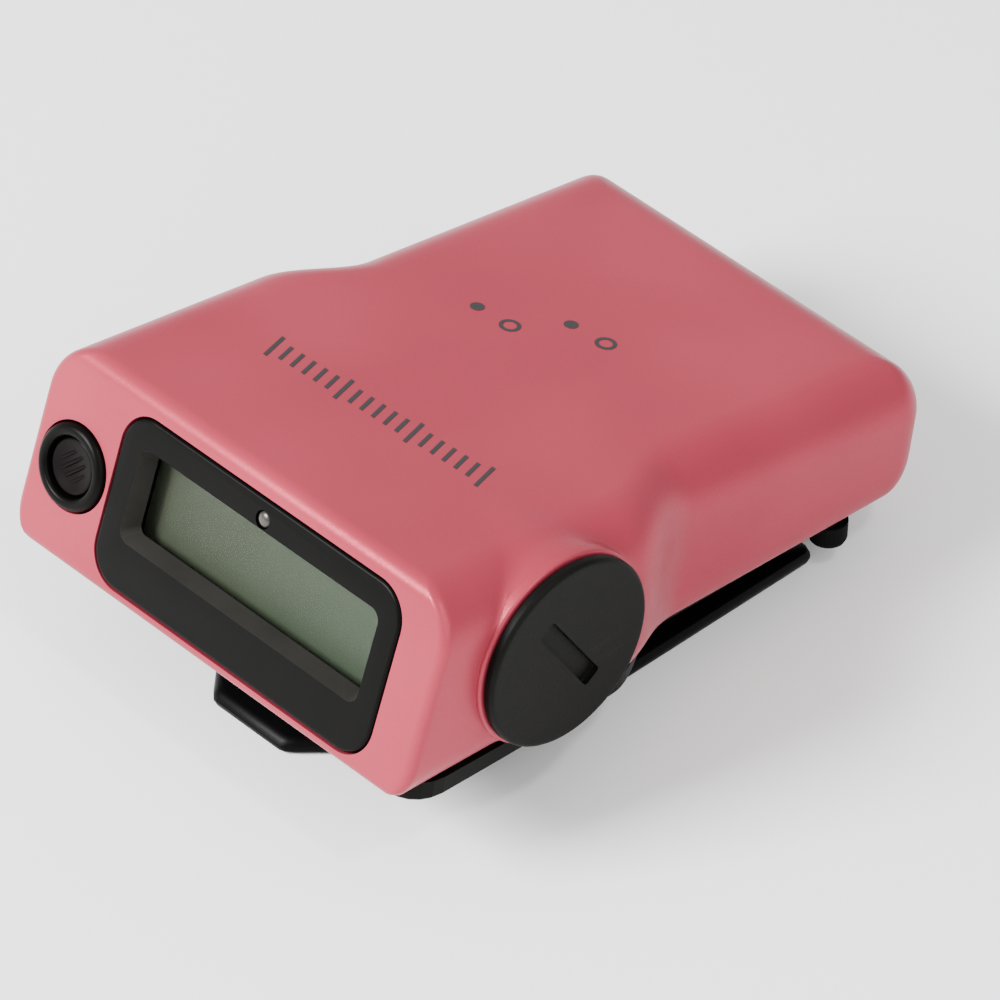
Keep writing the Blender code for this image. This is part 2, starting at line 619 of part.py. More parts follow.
# ---- display -------------------------------------------------------------------------
def make_display(facet, mats):
    centre_z = -BEZEL_TOP - BEZEL_HEIGHT / 2
    opening_z = -BEZEL_TOP - OPENING_TOP - OPENING_HEIGHT / 2
    outer = rounded_rectangle(BEZEL_WIDTH, BEZEL_HEIGHT, BEZEL_CORNER)
    soft = rounded_rectangle(BEZEL_WIDTH - 0.6 * MM, BEZEL_HEIGHT - 0.6 * MM, BEZEL_CORNER - 0.3 * MM)
    bezel = add_object("display_bezel", plate_xz(
        [(soft, -BEZEL_PROUD), (outer, -BEZEL_PROUD + 0.3 * MM), (outer, BEZEL_DEPTH)],
        BEZEL_CENTRE_X, centre_z), mats["gloss_black"], facet)
    wide = rounded_rectangle(OPENING_WIDTH + 2 * OPENING_TAPER, OPENING_HEIGHT + 2 * OPENING_TAPER,
                             OPENING_CORNER + OPENING_TAPER)
    narrow = rounded_rectangle(OPENING_WIDTH - OPENING_TAPER, OPENING_HEIGHT - OPENING_TAPER, OPENING_CORNER)
    reach = WINDOW_DEPTH + BEZEL_PROUD
    cut = plate_xz([(wide, -BEZEL_PROUD - reach), (narrow, WINDOW_DEPTH)], BEZEL_CENTRE_X, opening_z)
    boolean(bezel, "DIFFERENCE", cut, "bezel_opening")
    window_size = (OPENING_WIDTH + 2 * WINDOW_LAP, OPENING_HEIGHT + 2 * WINDOW_LAP)
    pocket = rounded_rectangle(window_size[0] + 2 * GAP, window_size[1] + 2 * GAP, OPENING_CORNER)
    cut = plate_xz([(pocket, WINDOW_DEPTH - GAP), (pocket, 2 * BEZEL_DEPTH)], BEZEL_CENTRE_X, opening_z)
    boolean(bezel, "DIFFERENCE", cut, "bezel_pocket")
    led_z = -BEZEL_TOP - LED_DROP
    cut = turned([(LED_RADIUS + GAP / 2, -2 * BEZEL_DEPTH), (LED_RADIUS + GAP / 2, BEZEL_DEPTH)], 24,
                 place=facing_out(LED_X, 0, led_z))
    boolean(bezel, "DIFFERENCE", cut, "bezel_led_hole")
    glass = rounded_rectangle(*window_size, OPENING_CORNER)
    add_object("display_window", plate_xz([(glass, WINDOW_DEPTH), (glass, WINDOW_DEPTH + WINDOW_THICKNESS)],
                                          BEZEL_CENTRE_X, opening_z), mats["clear"], facet)
    panel_face = BEZEL_DEPTH + GAP
    panel = (OPENING_WIDTH + 2 * LCD_BORDER, OPENING_HEIGHT + 2 * LCD_BORDER)
    add_object("lcd_panel", block((panel[0], LCD_THICKNESS, panel[1]),
                                  (BEZEL_CENTRE_X, panel_face + LCD_THICKNESS / 2, opening_z), 0.2 * MM),
               mats["lcd"], facet)
    light_face = panel_face + LCD_THICKNESS + GAP
    add_object("lcd_backlight", block((panel[0], BACKLIGHT_THICKNESS, panel[1]),
                                      (BEZEL_CENTRE_X, light_face + BACKLIGHT_THICKNESS / 2, opening_z),
                                      0.2 * MM), mats["white"], facet)
    led = [(LED_RADIUS, -LED_LENGTH), (LED_RADIUS, -0.2 * MM), (LED_RADIUS * 0.75, 0.15 * MM),
           (0.0, 0.3 * MM)]
    add_object("alarm_light_pipe", turned(led, 24, place=facing_out(LED_X, 0, led_z)), mats["lens"], facet)


def make_flat_cable(frame, mat):
    """Ribbon from the display, under the battery tube, up to the main board."""
    low = BATTERY_Z - TUBE_OUTER - 1.0 * MM
    display_y = BEZEL_DEPTH + LCD_THICKNESS + BACKLIGHT_THICKNESS + 1.2 * MM
    top_z = -(BEZEL_TOP + OPENING_TOP + OPENING_HEIGHT)
    board_z = -BOARD_DROP - BOARD_THICKNESS - 2 * GAP
    bends = [(display_y + top_z * TAN_LEAN, top_z), (display_y + low * TAN_LEAN, low + 1.6 * MM),
             (display_y + low * TAN_LEAN + 1.6 * MM, low), (BATTERY_Y + TUBE_OUTER - 2 * MM, low),
             (BATTERY_Y + TUBE_OUTER, low + 1.5 * MM), (BOARD_FRONT + 1.0 * MM, board_z - 1.0 * MM),
             (BOARD_FRONT + 3.0 * MM, board_z), (BOARD_FRONT + 7.0 * MM, board_z)]
    path = [Vector((0, y, z)) for y, z in bends]
    half, thick = 6.0 * MM, 0.25 * MM
    rings = []
    for i, p in enumerate(path):
        ahead, behind = path[min(i + 1, len(path) - 1)], path[max(i - 1, 0)]
        along = (ahead - behind).normalized()
        up = Vector((0, -along.z, along.y)) * thick / 2
        rings.append([p + Vector((s * half, 0, 0)) + t * up for s, t in ((-1, -1), (1, -1), (1, 1), (-1, 1))])
    add_object("display_ribbon", loft(rings), mat, frame)


# ---- push button -----------------------------------------------------------------------
def make_button(facet, mats):
    """Everything here is turned about the button's axis, which points out of the facet."""
    centre = (BUTTON_X, 0.0, -BUTTON_DROP)
    out = (math.pi / 2, 0.0, 0.0)
    hole = BUTTON_RADIUS + GAP
    stem = BUTTON_STEM_RADIUS + GAP
    crown = (hole + RING_RADIUS) / 2
    ring = [(hole, -RING_DEPTH + 1.0 * MM), (hole, RING_PROUD * 0.5), (hole + 0.35 * MM, RING_PROUD * 0.9),
            (crown, RING_PROUD), (RING_RADIUS - 0.3 * MM, RING_PROUD * 0.7), (RING_RADIUS, RING_PROUD * 0.2),
            (RING_RADIUS, -RING_DEPTH), (stem, -RING_DEPTH), (stem, -RING_DEPTH + 1.0 * MM)]
    add_object("button_ring", turned_ring(ring, 48), mats["gloss_black"], facet, centre, out)
    rim = 0.1 * MM
    dish = -0.35 * MM
    body = [(0.0, -BUTTON_LENGTH), (BUTTON_STEM_RADIUS, -BUTTON_LENGTH), (BUTTON_STEM_RADIUS, -1.5 * MM),
            (BUTTON_RADIUS, -1.5 * MM), (BUTTON_RADIUS, rim - 0.25 * MM), (BUTTON_RADIUS - 0.3 * MM, rim),
            (BUTTON_RADIUS * 0.7, dish * 0.6), (0.0, dish)]
    button = add_object("push_button", turned(body, 48), mats["rubber_black"], facet, centre, out)
    grooves = bmesh.new()
    for k in range(BUTTON_GROOVE_COUNT):
        offset = (k - (BUTTON_GROOVE_COUNT - 1) / 2) * BUTTON_GROOVE_PITCH
        length = 2 * math.sqrt((BUTTON_RADIUS * 0.75) ** 2 - offset ** 2)
        block((BUTTON_GROOVE_WIDTH, length, 2 * BUTTON_GROOVE_DEPTH), (offset, 0, dish), bm=grooves)
    boolean(button, "DIFFERENCE", grooves, "button_grooves", centre, out)
    switch_face = -BUTTON_LENGTH - BUTTON_TRAVEL - GAP
    switch = add_object("button_switch", block((4.5 * MM, 4.5 * MM, 2.0 * MM),
                                               (0, 0, switch_face - 1.6 * MM), 0.2 * MM),
                        mats["grey_metal"], facet, centre, out)
    boolean(switch, "UNION", turned([(1.2 * MM, switch_face - 1.0 * MM), (1.2 * MM, switch_face)], 16),
            "switch_plunger", centre, out)
    board_z = switch_face - 2.6 * MM - GAP - 0.4 * MM
    add_object("button_board", block((9.0 * MM, 12.0 * MM, 0.8 * MM), (0, 0, board_z)), mats["board"],
               facet, centre, out)


# ---- battery ---------------------------------------------------------------------------
def make_battery(frame, mats):
    axis = (0.0, BATTERY_Y, BATTERY_Z)
    turn_x = (0.0, math.pi / 2, 0.0)
    tube_left = CELL_LEFT - NUB_LENGTH - 0.6 * MM
    tube_right = SKIRT_END_X - GAP
    tube = [(TUBE_INNER, tube_left), (TUBE_INNER, tube_right),
            (TUBE_OUTER, tube_right), (TUBE_OUTER, tube_left)]
    add_object("battery_tube", turned_ring(tube, 40), mats["case_inner"], frame, axis, turn_x)
    cell = [(0.0, CELL_LEFT - NUB_LENGTH), (NUB_RADIUS, CELL_LEFT - NUB_LENGTH), (NUB_RADIUS, CELL_LEFT),
            (CELL_RADIUS - 0.4 * MM, CELL_LEFT), (CELL_RADIUS, CELL_LEFT + 0.4 * MM),
            (CELL_RADIUS, CELL_RIGHT - 0.3 * MM), (CELL_RADIUS - 0.3 * MM, CELL_RIGHT), (0.0, CELL_RIGHT)]
    add_object("battery_cell", turned(cell, 40), mats["cell"], frame, axis, turn_x)
    plate_x = tube_left - GAP
    plate = turned([(0.0, plate_x - 0.5 * MM), (TUBE_OUTER * 0.9, plate_x - 0.5 * MM),
                    (TUBE_OUTER * 0.9, plate_x),
                    (0.0, plate_x)], 32)
    add_object("positive_contact", plate, mats["spring_metal"], frame, axis, turn_x)
    make_cap(frame, mats, axis, turn_x)


def make_cap(frame, mats, axis, turn_x):
    seat = CAP_SEAT_X
    inner = CAP_SKIRT_RADIUS - CAP_SKIRT_WALL
    roof = seat - 0.8 * MM
    cap = [(0.0, roof), (inner, roof), (inner, SKIRT_END_X), (CAP_SKIRT_RADIUS, SKIRT_END_X),
           (CAP_SKIRT_RADIUS, seat), (CAP_RADIUS - 0.15 * MM, seat), (CAP_RADIUS, seat + 0.15 * MM),
           (CAP_RADIUS, seat + CAP_FLANGE - 0.45 * MM), (CAP_RADIUS - 0.45 * MM, seat + CAP_FLANGE),
           (0.0, seat + CAP_FLANGE)]
    lid = add_object("battery_cap", turned(cap, 64), mats["satin_black"], frame, axis, turn_x)
    slot_turn = (0.0, math.pi / 2, 0.0)
    slot = block((SLOT_WIDTH, SLOT_LENGTH, 2 * SLOT_DEPTH), (0, 0, seat + CAP_FLANGE))
    bmesh.ops.rotate(slot, cent=(0, 0, 0), matrix=Matrix.Rotation(SLOT_ANGLE, 3, "Z"), verts=slot.verts)
    boolean(lid, "DIFFERENCE", slot, "cap_slot", axis, slot_turn)
    seal = [(SEAL_RADIUS + SEAL_SECTION * math.cos(a), seat - GAP - SEAL_SECTION + SEAL_SECTION * math.sin(a))
            for a in (2 * math.pi * k / 8 for k in range(8))]
    add_object("cap_seal", turned_ring(seal, 48), mats["rubber_black"], frame, axis, turn_x)
    disc_x = roof - GAP
    disc = turned([(0.0, disc_x - 0.5 * MM), (inner - 2 * GAP, disc_x - 0.5 * MM), (inner - 2 * GAP, disc_x),
                   (0.0, disc_x)], 32)
    add_object("cap_contact", disc, mats["spring_metal"], frame, axis, turn_x)
    low, high = CELL_RIGHT + GAP + SPRING_WIRE, disc_x - 0.5 * MM - GAP - SPRING_WIRE
    points = []
    steps = 14 * SPRING_TURNS
    for i in range(steps + 1):
        t = i / steps
        a = 2 * math.pi * SPRING_TURNS * t
        r = 2.6 * MM + (inner - 2.2 * MM - 2.6 * MM) * t
        points.append((r * math.cos(a), r * math.sin(a), low + (high - low) * t))
    add_object("cap_spring", wire(points, SPRING_WIRE / 2), mats["spring_metal"], frame, axis, turn_x)


# ---- electronics -------------------------------------------------------------------------
def make_electronics(frame, mats):
    board_top = -BOARD_DROP
    rear = CASE_LENGTH - WALL - BOARD_MARGIN
    plan = []
    stops = [BOARD_FRONT] + [NECK_START + (NECK_END - NECK_START) * i / 6 for i in range(7)] + [rear]
    for y in [s for s in stops if s >= BOARD_FRONT]:
        plan.append((half_width(y) - WALL - BOARD_MARGIN, y))
    outline = plan + [(-x, y) for x, y in reversed(plan)]
    board = add_object("main_board", extruded(outline, board_top - BOARD_THICKNESS, board_top),
                       mats["board"], frame)
    holes = bmesh.new()
    for x, y in post_places():
        turned([(POST_RADIUS + 2 * GAP, board_top - 4 * BOARD_THICKNESS), (POST_RADIUS + 2 * GAP, -WALL)], 24,
               holes, Matrix.Translation((x, y, 0)))
    boolean(board, "DIFFERENCE", holes, "board_holes")
    seat = board_top + GAP
    for name, (x, y), mat in (("gamma_detector", GAMMA_XY, mats["grey_metal"]),
                              ("neutron_detector", NEUTRON_XY, mats["dark_metal"])):
        add_object(name, block((MODULE_WIDTH, MODULE_LENGTH, MODULE_HEIGHT), (x, y, seat + MODULE_HEIGHT / 2),
                               0.6 * MM), mat, frame)
    x, y = SHIELD_XY
    add_object("processor_shield", block(SHIELD_SIZE, (x, y, seat + SHIELD_SIZE[2] / 2), 0.2 * MM),
               mats["grey_metal"], frame)
    x, y = SOUNDER_XY
    horn = [(0.0, 0.0), (SOUNDER_RADIUS, 0.0), (SOUNDER_RADIUS, SOUNDER_HEIGHT - 0.4 * MM),
            (SOUNDER_RADIUS - 0.4 * MM, SOUNDER_HEIGHT), (1.0 * MM, SOUNDER_HEIGHT),
            (1.0 * MM, SOUNDER_HEIGHT - 1.0 * MM), (0.0, SOUNDER_HEIGHT - 1.0 * MM)]
    add_object("alarm_sounder", turned(horn, 32), mats["satin_black"], frame, (x, y, seat))
    make_motor(frame, mats)


def make_motor(frame, mats):
    """Vibration motor under the board; its half-round weight spins on the shaft."""
    z = -BOARD_DROP - BOARD_THICKNESS - GAP - MOTOR_RADIUS - 0.4 * MM
    left = -MOTOR_LENGTH / 2 - WEIGHT_LENGTH / 2
    can_end = left + MOTOR_LENGTH
    can = [(0.0, left), (MOTOR_RADIUS, left), (MOTOR_RADIUS, can_end), (0.0, can_end)]
    axis = (0.0, MOTOR_Y, z)
    turn_x = (0.0, math.pi / 2, 0.0)
    motor = add_object("vibration_motor", turned(can, 28), mats["grey_metal"], frame, axis, turn_x)
    shaft = turned([(SHAFT_RADIUS, can_end - 1.0 * MM), (SHAFT_RADIUS, can_end + WEIGHT_LENGTH + GAP)], 12)
    boolean(motor, "UNION", shaft, "motor_shaft", axis, turn_x)
    steps = 12
    start = can_end + 2 * GAP
    outline = [(WEIGHT_RADIUS * math.cos(math.pi * i / steps), -WEIGHT_RADIUS * math.sin(math.pi * i / steps))
               for i in range(steps + 1)]
    hub = 2.4 * SHAFT_RADIUS
    outline += [(-hub, 0.0), (-hub, hub), (hub, hub), (hub, 0.0)]
    weight = loft([[(x, y, start + h) for x, y in outline] for h in (0.0, WEIGHT_LENGTH)])
    spinner = add_object("motor_weight", weight, mats["dark_metal"], frame, axis, turn_x)
    bore = SHAFT_RADIUS + PIN_CLEARANCE
    boolean(spinner, "DIFFERENCE",
            turned([(bore, start - WEIGHT_LENGTH), (bore, start + 2 * WEIGHT_LENGTH)], 12),
            "weight_bore", axis, turn_x)


# ---- belt clip ---------------------------------------------------------------------------
def make_clip(pivot, base_frame, mats):
    """The plate and ears turn about the pin; the mount is screwed to the base."""
    floor = -PIVOT_HEIGHT
    top = floor + CLIP_THICKNESS
    front = -PIVOT_FROM_TAB
    rear = front + CLIP_LENGTH
    half = CLIP_HALF_WIDTH
    right = [(TAB_HALF_WIDTH, front), (half, front + TAB_TAPER), (half, rear - CLIP_REAR_CHAMFER),
             (half - CLIP_REAR_CHAMFER, rear)]
    outline = right + [(-x, y) for x, y in reversed(right)]
    edge = 0.35 * MM
    shrink = [(x - math.copysign(edge, x), y + (edge if y == front else 0) - (edge if y == rear else 0))
              for x, y in outline]
    rings = [[(x, y, floor) for x, y in shrink], [(x, y, floor + edge) for x, y in outline],
             [(x, y, top - edge) for x, y in outline], [(x, y, top) for x, y in shrink]]
    plate = add_object("clip_plate", loft(rings), mats["satin_black"], pivot)
    ears = bmesh.new()
    steps = 10
    ear = [(EAR_RADIUS * math.cos(math.pi * i / steps), EAR_RADIUS * math.sin(math.pi * i / steps))
           for i in range(steps + 1)] + [(-EAR_RADIUS * 1.5, floor + edge), (EAR_RADIUS * 1.5, floor + edge)]
    for side in (-1, 1):
        inner, outer = side * EAR_INNER, side * (EAR_INNER + EAR_THICKNESS)
        part = loft([[(x, y, z) for y, z in ear] for x in sorted((inner, outer))])
        merge(ears, part)
    boolean(plate, "UNION", ears, "clip_ears")
    lip_y = rear - edge - LIP_THICKNESS
    lip_top = [under_height(y) for y in (lip_y, rear - edge)]
    lip = loft([[(s * LIP_HALF_WIDTH, lip_y, z), (s * LIP_HALF_WIDTH, rear - edge, z2)]
                + [(s * LIP_HALF_WIDTH, rear - edge, floor + edge), (s * LIP_HALF_WIDTH, lip_y, floor + edge)]
                for s, z, z2 in ((-1, *lip_top), (1, *lip_top))])
    boolean(plate, "UNION", lip, "clip_lip")
    bore = PIN_RADIUS + PIN_CLEARANCE
    boolean(plate, "DIFFERENCE", turned([(bore, -half), (bore, half)], 24, place=along_x()), "clip_bore")
    make_mount(base_frame, mats)
    pin = [(PIN_RADIUS - 0.2 * MM, -PIN_HALF_LENGTH), (PIN_RADIUS, -PIN_HALF_LENGTH + 0.2 * MM),
           (PIN_RADIUS, PIN_HALF_LENGTH - 0.2 * MM), (PIN_RADIUS - 0.2 * MM, PIN_HALF_LENGTH)]
    add_object("clip_pin", turned(pin, 24), mats["grey_metal"], pivot, rotation=(0, math.pi / 2, 0))
    make_clip_spring(pivot, mats)


def under_height(y):
    """Height over the pivot at which the lip at y just clears the base's underside."""
    slope = math.tan(BASE_ANGLE - CLIP_TILT)
    lift = PIVOT_DROP / math.cos(BASE_ANGLE - CLIP_TILT)
    return lift + slope * y - GAP


def make_mount(base_frame, mats):
    """Foot plate under the base with two lugs that carry the pin."""
    half_width_x = LUG_INNER + LUG_THICKNESS
    foot = block((2 * half_width_x, 2 * MOUNT_HALF_LENGTH, MOUNT_THICKNESS),
                 (0, 0, -GAP - MOUNT_THICKNESS / 2), 0.25 * MM)
    mount = add_object("clip_mount", foot, mats["satin_black"], base_frame)
    lugs = bmesh.new()
    steps = 10
    top = -GAP - MOUNT_THICKNESS / 2
    lug = [(-LUG_RADIUS * math.cos(math.pi * i / steps),
            -PIVOT_DROP - LUG_RADIUS * math.sin(math.pi * i / steps))
           for i in range(steps + 1)] + [(LUG_RADIUS * 1.6, top), (-LUG_RADIUS * 1.6, top)]
    for side in (-1, 1):
        spans = sorted((side * LUG_INNER, side * half_width_x))
        merge(lugs, loft([[(x, y, z) for y, z in lug] for x in spans]))
    boolean(mount, "UNION", lugs, "mount_lugs")
    bore = PIN_RADIUS + PIN_CLEARANCE
    cuts = turned([(bore, -CLIP_HALF_WIDTH), (bore, CLIP_HALF_WIDTH)],
                  24, place=along_x(0, 0, -PIVOT_DROP))
    for y in (-MOUNT_HALF_LENGTH * 0.72, MOUNT_HALF_LENGTH * 0.72):
        turned([(SCREW_RADIUS + GAP, -3 * MOUNT_THICKNESS), (SCREW_RADIUS + GAP, MOUNT_THICKNESS)], 16,
               cuts, Matrix.Translation((0, y, 0)))
    boolean(mount, "DIFFERENCE", cuts, "mount_bores")
    base = bpy.data.objects["base_cover"]
    wells = bmesh.new()
    screw_y = MOUNT_HALF_LENGTH * 0.72
    for name, y in (("clip_screw_front", -screw_y), ("clip_screw_rear", screw_y)):
        length = MOUNT_THICKNESS + 2.0 * MM
        turn = [(SCREW_HEAD_RADIUS * 0.8, -SCREW_HEAD_HEIGHT), (SCREW_HEAD_RADIUS, -SCREW_HEAD_HEIGHT * 0.5),
                (SCREW_HEAD_RADIUS, 0.0), (SCREW_RADIUS, 0.0), (SCREW_RADIUS, length)]
        add_object(name, turned(turn, 20), mats["grey_metal"], base_frame,
                   (0, y, -GAP - MOUNT_THICKNESS - GAP))
        turned([(SCREW_RADIUS + GAP, -MOUNT_THICKNESS), (SCREW_RADIUS + GAP, 4 * MOUNT_THICKNESS)], 16, wells,
               Matrix.Translation((0, y, 0)))
    boolean(base, "DIFFERENCE", wells, "base_wells")
    bpy.data.objects["base_wells"].parent = base_frame


def make_clip_spring(pivot, mats):
    """Torsion coil round the pin; one leg presses the base, the other the thumb tab."""
    steps = 12 * COIL_TURNS
    coil = []
    for i in range(steps + 1):
        a = math.pi / 2 + 2 * math.pi * (COIL_TURNS + 0.5) * i / steps
        coil.append((-COIL_HALF_LENGTH + 2 * COIL_HALF_LENGTH * i / steps,
                     COIL_RADIUS * math.cos(a), COIL_RADIUS * math.sin(a)))
    first, last = coil[0], coil[-1]
    points = [(first[0], -COIL_LEG, first[2])] + coil + [(last[0], -COIL_LEG, last[2])]
    add_object("clip_spring", wire(points, COIL_WIRE), mats["spring_metal"], pivot)


# ---- build -----------------------------------------------------------------------------
def main():
    clear_scene()
    mats = {
        "case_pink": material("case_pink", (0.62, 0.13, 0.16), 0.35, 0.15),
        "satin_black": material("satin_black", (0.015, 0.015, 0.016), 0.45),
        "gloss_black": material("gloss_black", (0.018, 0.018, 0.017), 0.25),
        "rubber_black": material("rubber_black", (0.012, 0.012, 0.012), 0.7),
        "case_inner": material("case_inner", (0.05, 0.05, 0.05), 0.6),
        "clear": material("clear", (0.8, 0.85, 0.8), 0.05),
        "lens": material("lens", (0.35, 0.33, 0.3), 0.15),
        "lcd": material("lcd", (0.15, 0.2, 0.14), 0.3),
        "white": material("white", (0.8, 0.8, 0.78), 0.4),
        "board": material("board", (0.03, 0.16, 0.06), 0.5),
        "cell": material("cell", (0.5, 0.5, 0.52), 0.3, 0.8),
        "grey_metal": material("grey_metal", (0.55, 0.55, 0.56), 0.3, 1.0),
        "dark_metal": material("dark_metal", (0.2, 0.2, 0.22), 0.35, 1.0),
        "spring_metal": material("spring_metal", (0.7, 0.68, 0.62), 0.25, 1.0),
        "ribbon": material("ribbon", (0.45, 0.2, 0.05), 0.4),
    }
    case_frame = empty("case_frame", location=CASE_ORIGIN, tilt=-CLIP_TILT)
    facet_frame = empty("facet_frame", case_frame, tilt=-FACET_LEAN)
    base_frame = empty("base_frame", case_frame, PIVOT_FOOT, BASE_ANGLE)
    pivot_frame = empty("clip_pivot", location=PIVOT_WORLD)
    make_case(case_frame, facet_frame, mats["case_pink"])
    make_base(case_frame, mats["satin_black"])
    make_gasket(case_frame, mats["rubber_black"])
    make_screws(case_frame, mats["grey_metal"])
    make_feet(case_frame, mats["rubber_black"])
    make_display(facet_frame, mats)
    make_button(facet_frame, mats)
    make_battery(case_frame, mats)
    make_electronics(case_frame, mats)
    make_flat_cable(case_frame, mats["ribbon"])
    make_clip(pivot_frame, base_frame, mats)


main()
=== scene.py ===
# %% [markdown]
# # A belt-clip radiation dosimeter
# The object is a pager-sized radiation alarm: a painted wedge case that lies on its own belt clip,
# with a leaning front that carries a small display, one push button and an alarm light, and a
# coin-slotted battery cap on its right side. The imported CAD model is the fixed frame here. This
# script lays finer surfaces, finishes, light and a camera around it, and never moves a CAD part.

# %% Load the frame
import json
import math

import bmesh
import bpy
from mathutils import Matrix, Vector


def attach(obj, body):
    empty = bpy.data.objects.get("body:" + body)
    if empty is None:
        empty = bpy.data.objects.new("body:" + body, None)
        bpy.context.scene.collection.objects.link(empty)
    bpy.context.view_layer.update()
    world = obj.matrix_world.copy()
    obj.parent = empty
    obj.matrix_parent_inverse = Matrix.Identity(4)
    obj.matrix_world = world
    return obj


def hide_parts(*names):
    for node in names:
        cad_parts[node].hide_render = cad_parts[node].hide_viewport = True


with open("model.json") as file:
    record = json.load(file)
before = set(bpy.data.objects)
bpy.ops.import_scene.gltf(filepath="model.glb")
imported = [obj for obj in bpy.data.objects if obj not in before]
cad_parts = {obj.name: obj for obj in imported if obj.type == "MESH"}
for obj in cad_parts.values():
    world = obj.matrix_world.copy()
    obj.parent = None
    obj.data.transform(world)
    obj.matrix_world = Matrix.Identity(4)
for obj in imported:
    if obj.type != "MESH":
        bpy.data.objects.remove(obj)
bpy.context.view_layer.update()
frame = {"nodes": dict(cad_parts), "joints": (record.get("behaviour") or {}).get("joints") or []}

# %% [markdown]
# ## Where things are
# The case is tilted on its clip, so it is easiest to shape each piece in the case's own axes, in
# millimetres, and to place it with one matrix. The joints in the record say where the battery cap
# and the clip's pin are and which way the button points. The origin of the case and the lean of its
# front are worked out from them, so only the tilt and the battery's place are typed in.

# %% Local axes of the case and of the leaning front
MM = 0.001
joints = {j["name"]: j for j in frame["joints"]}
CASE_TILT = math.radians(10.04)
BUTTON_AXIS = Vector(joints["button_press"]["axis"])
FACET_TILT = math.atan2(-BUTTON_AXIS.z, BUTTON_AXIS.y)
FACET_LEAN = FACET_TILT - CASE_TILT
SIDE_X = 34.5
BATTERY_Y = 17.8
BATTERY_Z = -12.2
CAP_CENTRE = Vector(joints["cap_turn"]["pos_m"])
CLIP_PIVOT = Vector(joints["clip_swing"]["pos_m"])

tilted = Matrix.Rotation(-CASE_TILT, 4, "X")
case_origin = CAP_CENTRE - tilted @ (Vector((SIDE_X, BATTERY_Y, BATTERY_Z)) * MM)
CASE = Matrix.Translation(case_origin) @ tilted @ Matrix.Scale(MM, 4)
FACET = CASE @ Matrix.Rotation(-FACET_LEAN, 4, "X")
PIVOT = Matrix.Translation(CLIP_PIVOT) @ Matrix.Scale(MM, 4)
ALONG_X = Matrix.Rotation(math.pi / 2, 4, "Y")
CAP = CASE @ Matrix.Translation((0, BATTERY_Y, BATTERY_Z)) @ ALONG_X
print(f"front leans {math.degrees(FACET_LEAN):.2f} degrees from square to the case's top")

# %% [markdown]
# ## Shader arithmetic
# A material is a small graph of nodes. Wrapping a socket in a Python class lets the graph be
# written as sums: `1 - mask * 0.5` adds two Math nodes. Every other node comes from one method,
# which sets the node's own choices first and then its sockets.


# %% A socket that takes part in Python sums
class Value:
    """One output socket; arithmetic on it adds Math nodes."""

    def __init__(self, finish, socket):
        self.finish = finish
        self.socket = socket

    def __add__(self, other):
        return self.finish.math("ADD", self, other)

    __radd__ = __add__

    def __mul__(self, other):
        return self.finish.math("MULTIPLY", self, other)

    __rmul__ = __mul__

    def __sub__(self, other):
        return self.finish.math("SUBTRACT", self, other)

    def __rsub__(self, other):
        return self.finish.math("SUBTRACT", other, self)


class Finish:
    """One material, built up from its Principled BSDF."""

    def __init__(self, name, colour, roughness, metallic=0.0, **constants):
        self.material = bpy.data.materials.new(name)
        self.material.use_nodes = True
        self.tree = self.material.node_tree
        self.shader = self.tree.nodes["Principled BSDF"]
        self.set("Base Color", (*colour[:3], 1.0))
        self.set("Roughness", roughness)
        self.set("Metallic", metallic)
        for socket, value in constants.items():
            self.set(socket.replace("_", " "), value)

    def set(self, socket, value):
        self.fill(self.shader.inputs[socket], value)

    def fill(self, socket, value):
        if isinstance(value, Value):
            value = value.socket
        if isinstance(value, bpy.types.NodeSocket):
            self.tree.links.new(value, socket)
        else:
            socket.default_value = value

    def node(self, kind, settings, sockets, output=0):
        """Adds a node: its settings first, then its sockets by name or number."""
        made = self.tree.nodes.new(kind)
        for name, value in settings.items():
            setattr(made, name, value)
        for name, value in sockets.items():
            self.fill(made.inputs[name], value)
        return Value(self, made.outputs[output])

    def math(self, operation, first, second):
        return self.node("ShaderNodeMath", {"operation": operation}, {0: first, 1: second})

    def mix(self, factor, first, second):
        """Blend of two colours by a factor from 0 to 1."""
        return self.node("ShaderNodeMix", {"data_type": "RGBA"},
                         {0: factor, 6: first, 7: second}, 2)

    def place(self, stretch=(1, 1, 1)):
        """Millimetres on the piece, stretched along its axes."""
        here = self.node("ShaderNodeTexCoord", {}, {}, "Object")
        scale = tuple(s / MM for s in stretch)
        return self.node("ShaderNodeVectorMath", {"operation": "MULTIPLY"},
                         {0: here, 1: scale})

    def noise(self, size, detail=2.0, stretch=(1, 1, 1)):
        """Soft noise with blobs about size millimetres across."""
        sockets = {"Vector": self.place(stretch), "Scale": 1.0 / size, "Detail": detail}
        return self.node("ShaderNodeTexNoise", {}, sockets, "Fac")

    def band(self, value, low, high):
        """0 below low, 1 above high, and a straight ramp between."""
        return self.node("ShaderNodeMapRange", {"clamp": True},
                         {"Value": value, "From Min": low, "From Max": high}, "Result")

    def bump(self, height, depth):
        """Raised surface detail, depth in millimetres."""
        sockets = {"Height": height, "Strength": 1.0, "Distance": depth * MM}
        self.set("Normal", self.node("ShaderNodeBump", {}, sockets, "Normal"))
        return self


print("shader helpers ready")

# %% [markdown]
# ## Paint on the case
# The case is moulded plastic with a satin metallic paint. Sprayed paint isn't a flat colour: it has
# a fine orange-peel skin, tiny flakes and slow drifts of tone. Noises of very different sizes give
# those: the slowest tints the colour, the next two vary the gloss and raise the skin, and the
# finest makes the flakes.


# %% Salmon-pink case paint
def rgb(red, green, blue):
    """A display colour from 0 to 255, as linear light."""
    def linear(c):
        c = c / 255
        return c / 12.92 if c <= 0.04045 else ((c + 0.055) / 1.055) ** 2.4
    return (linear(red), linear(green), linear(blue), 1.0)


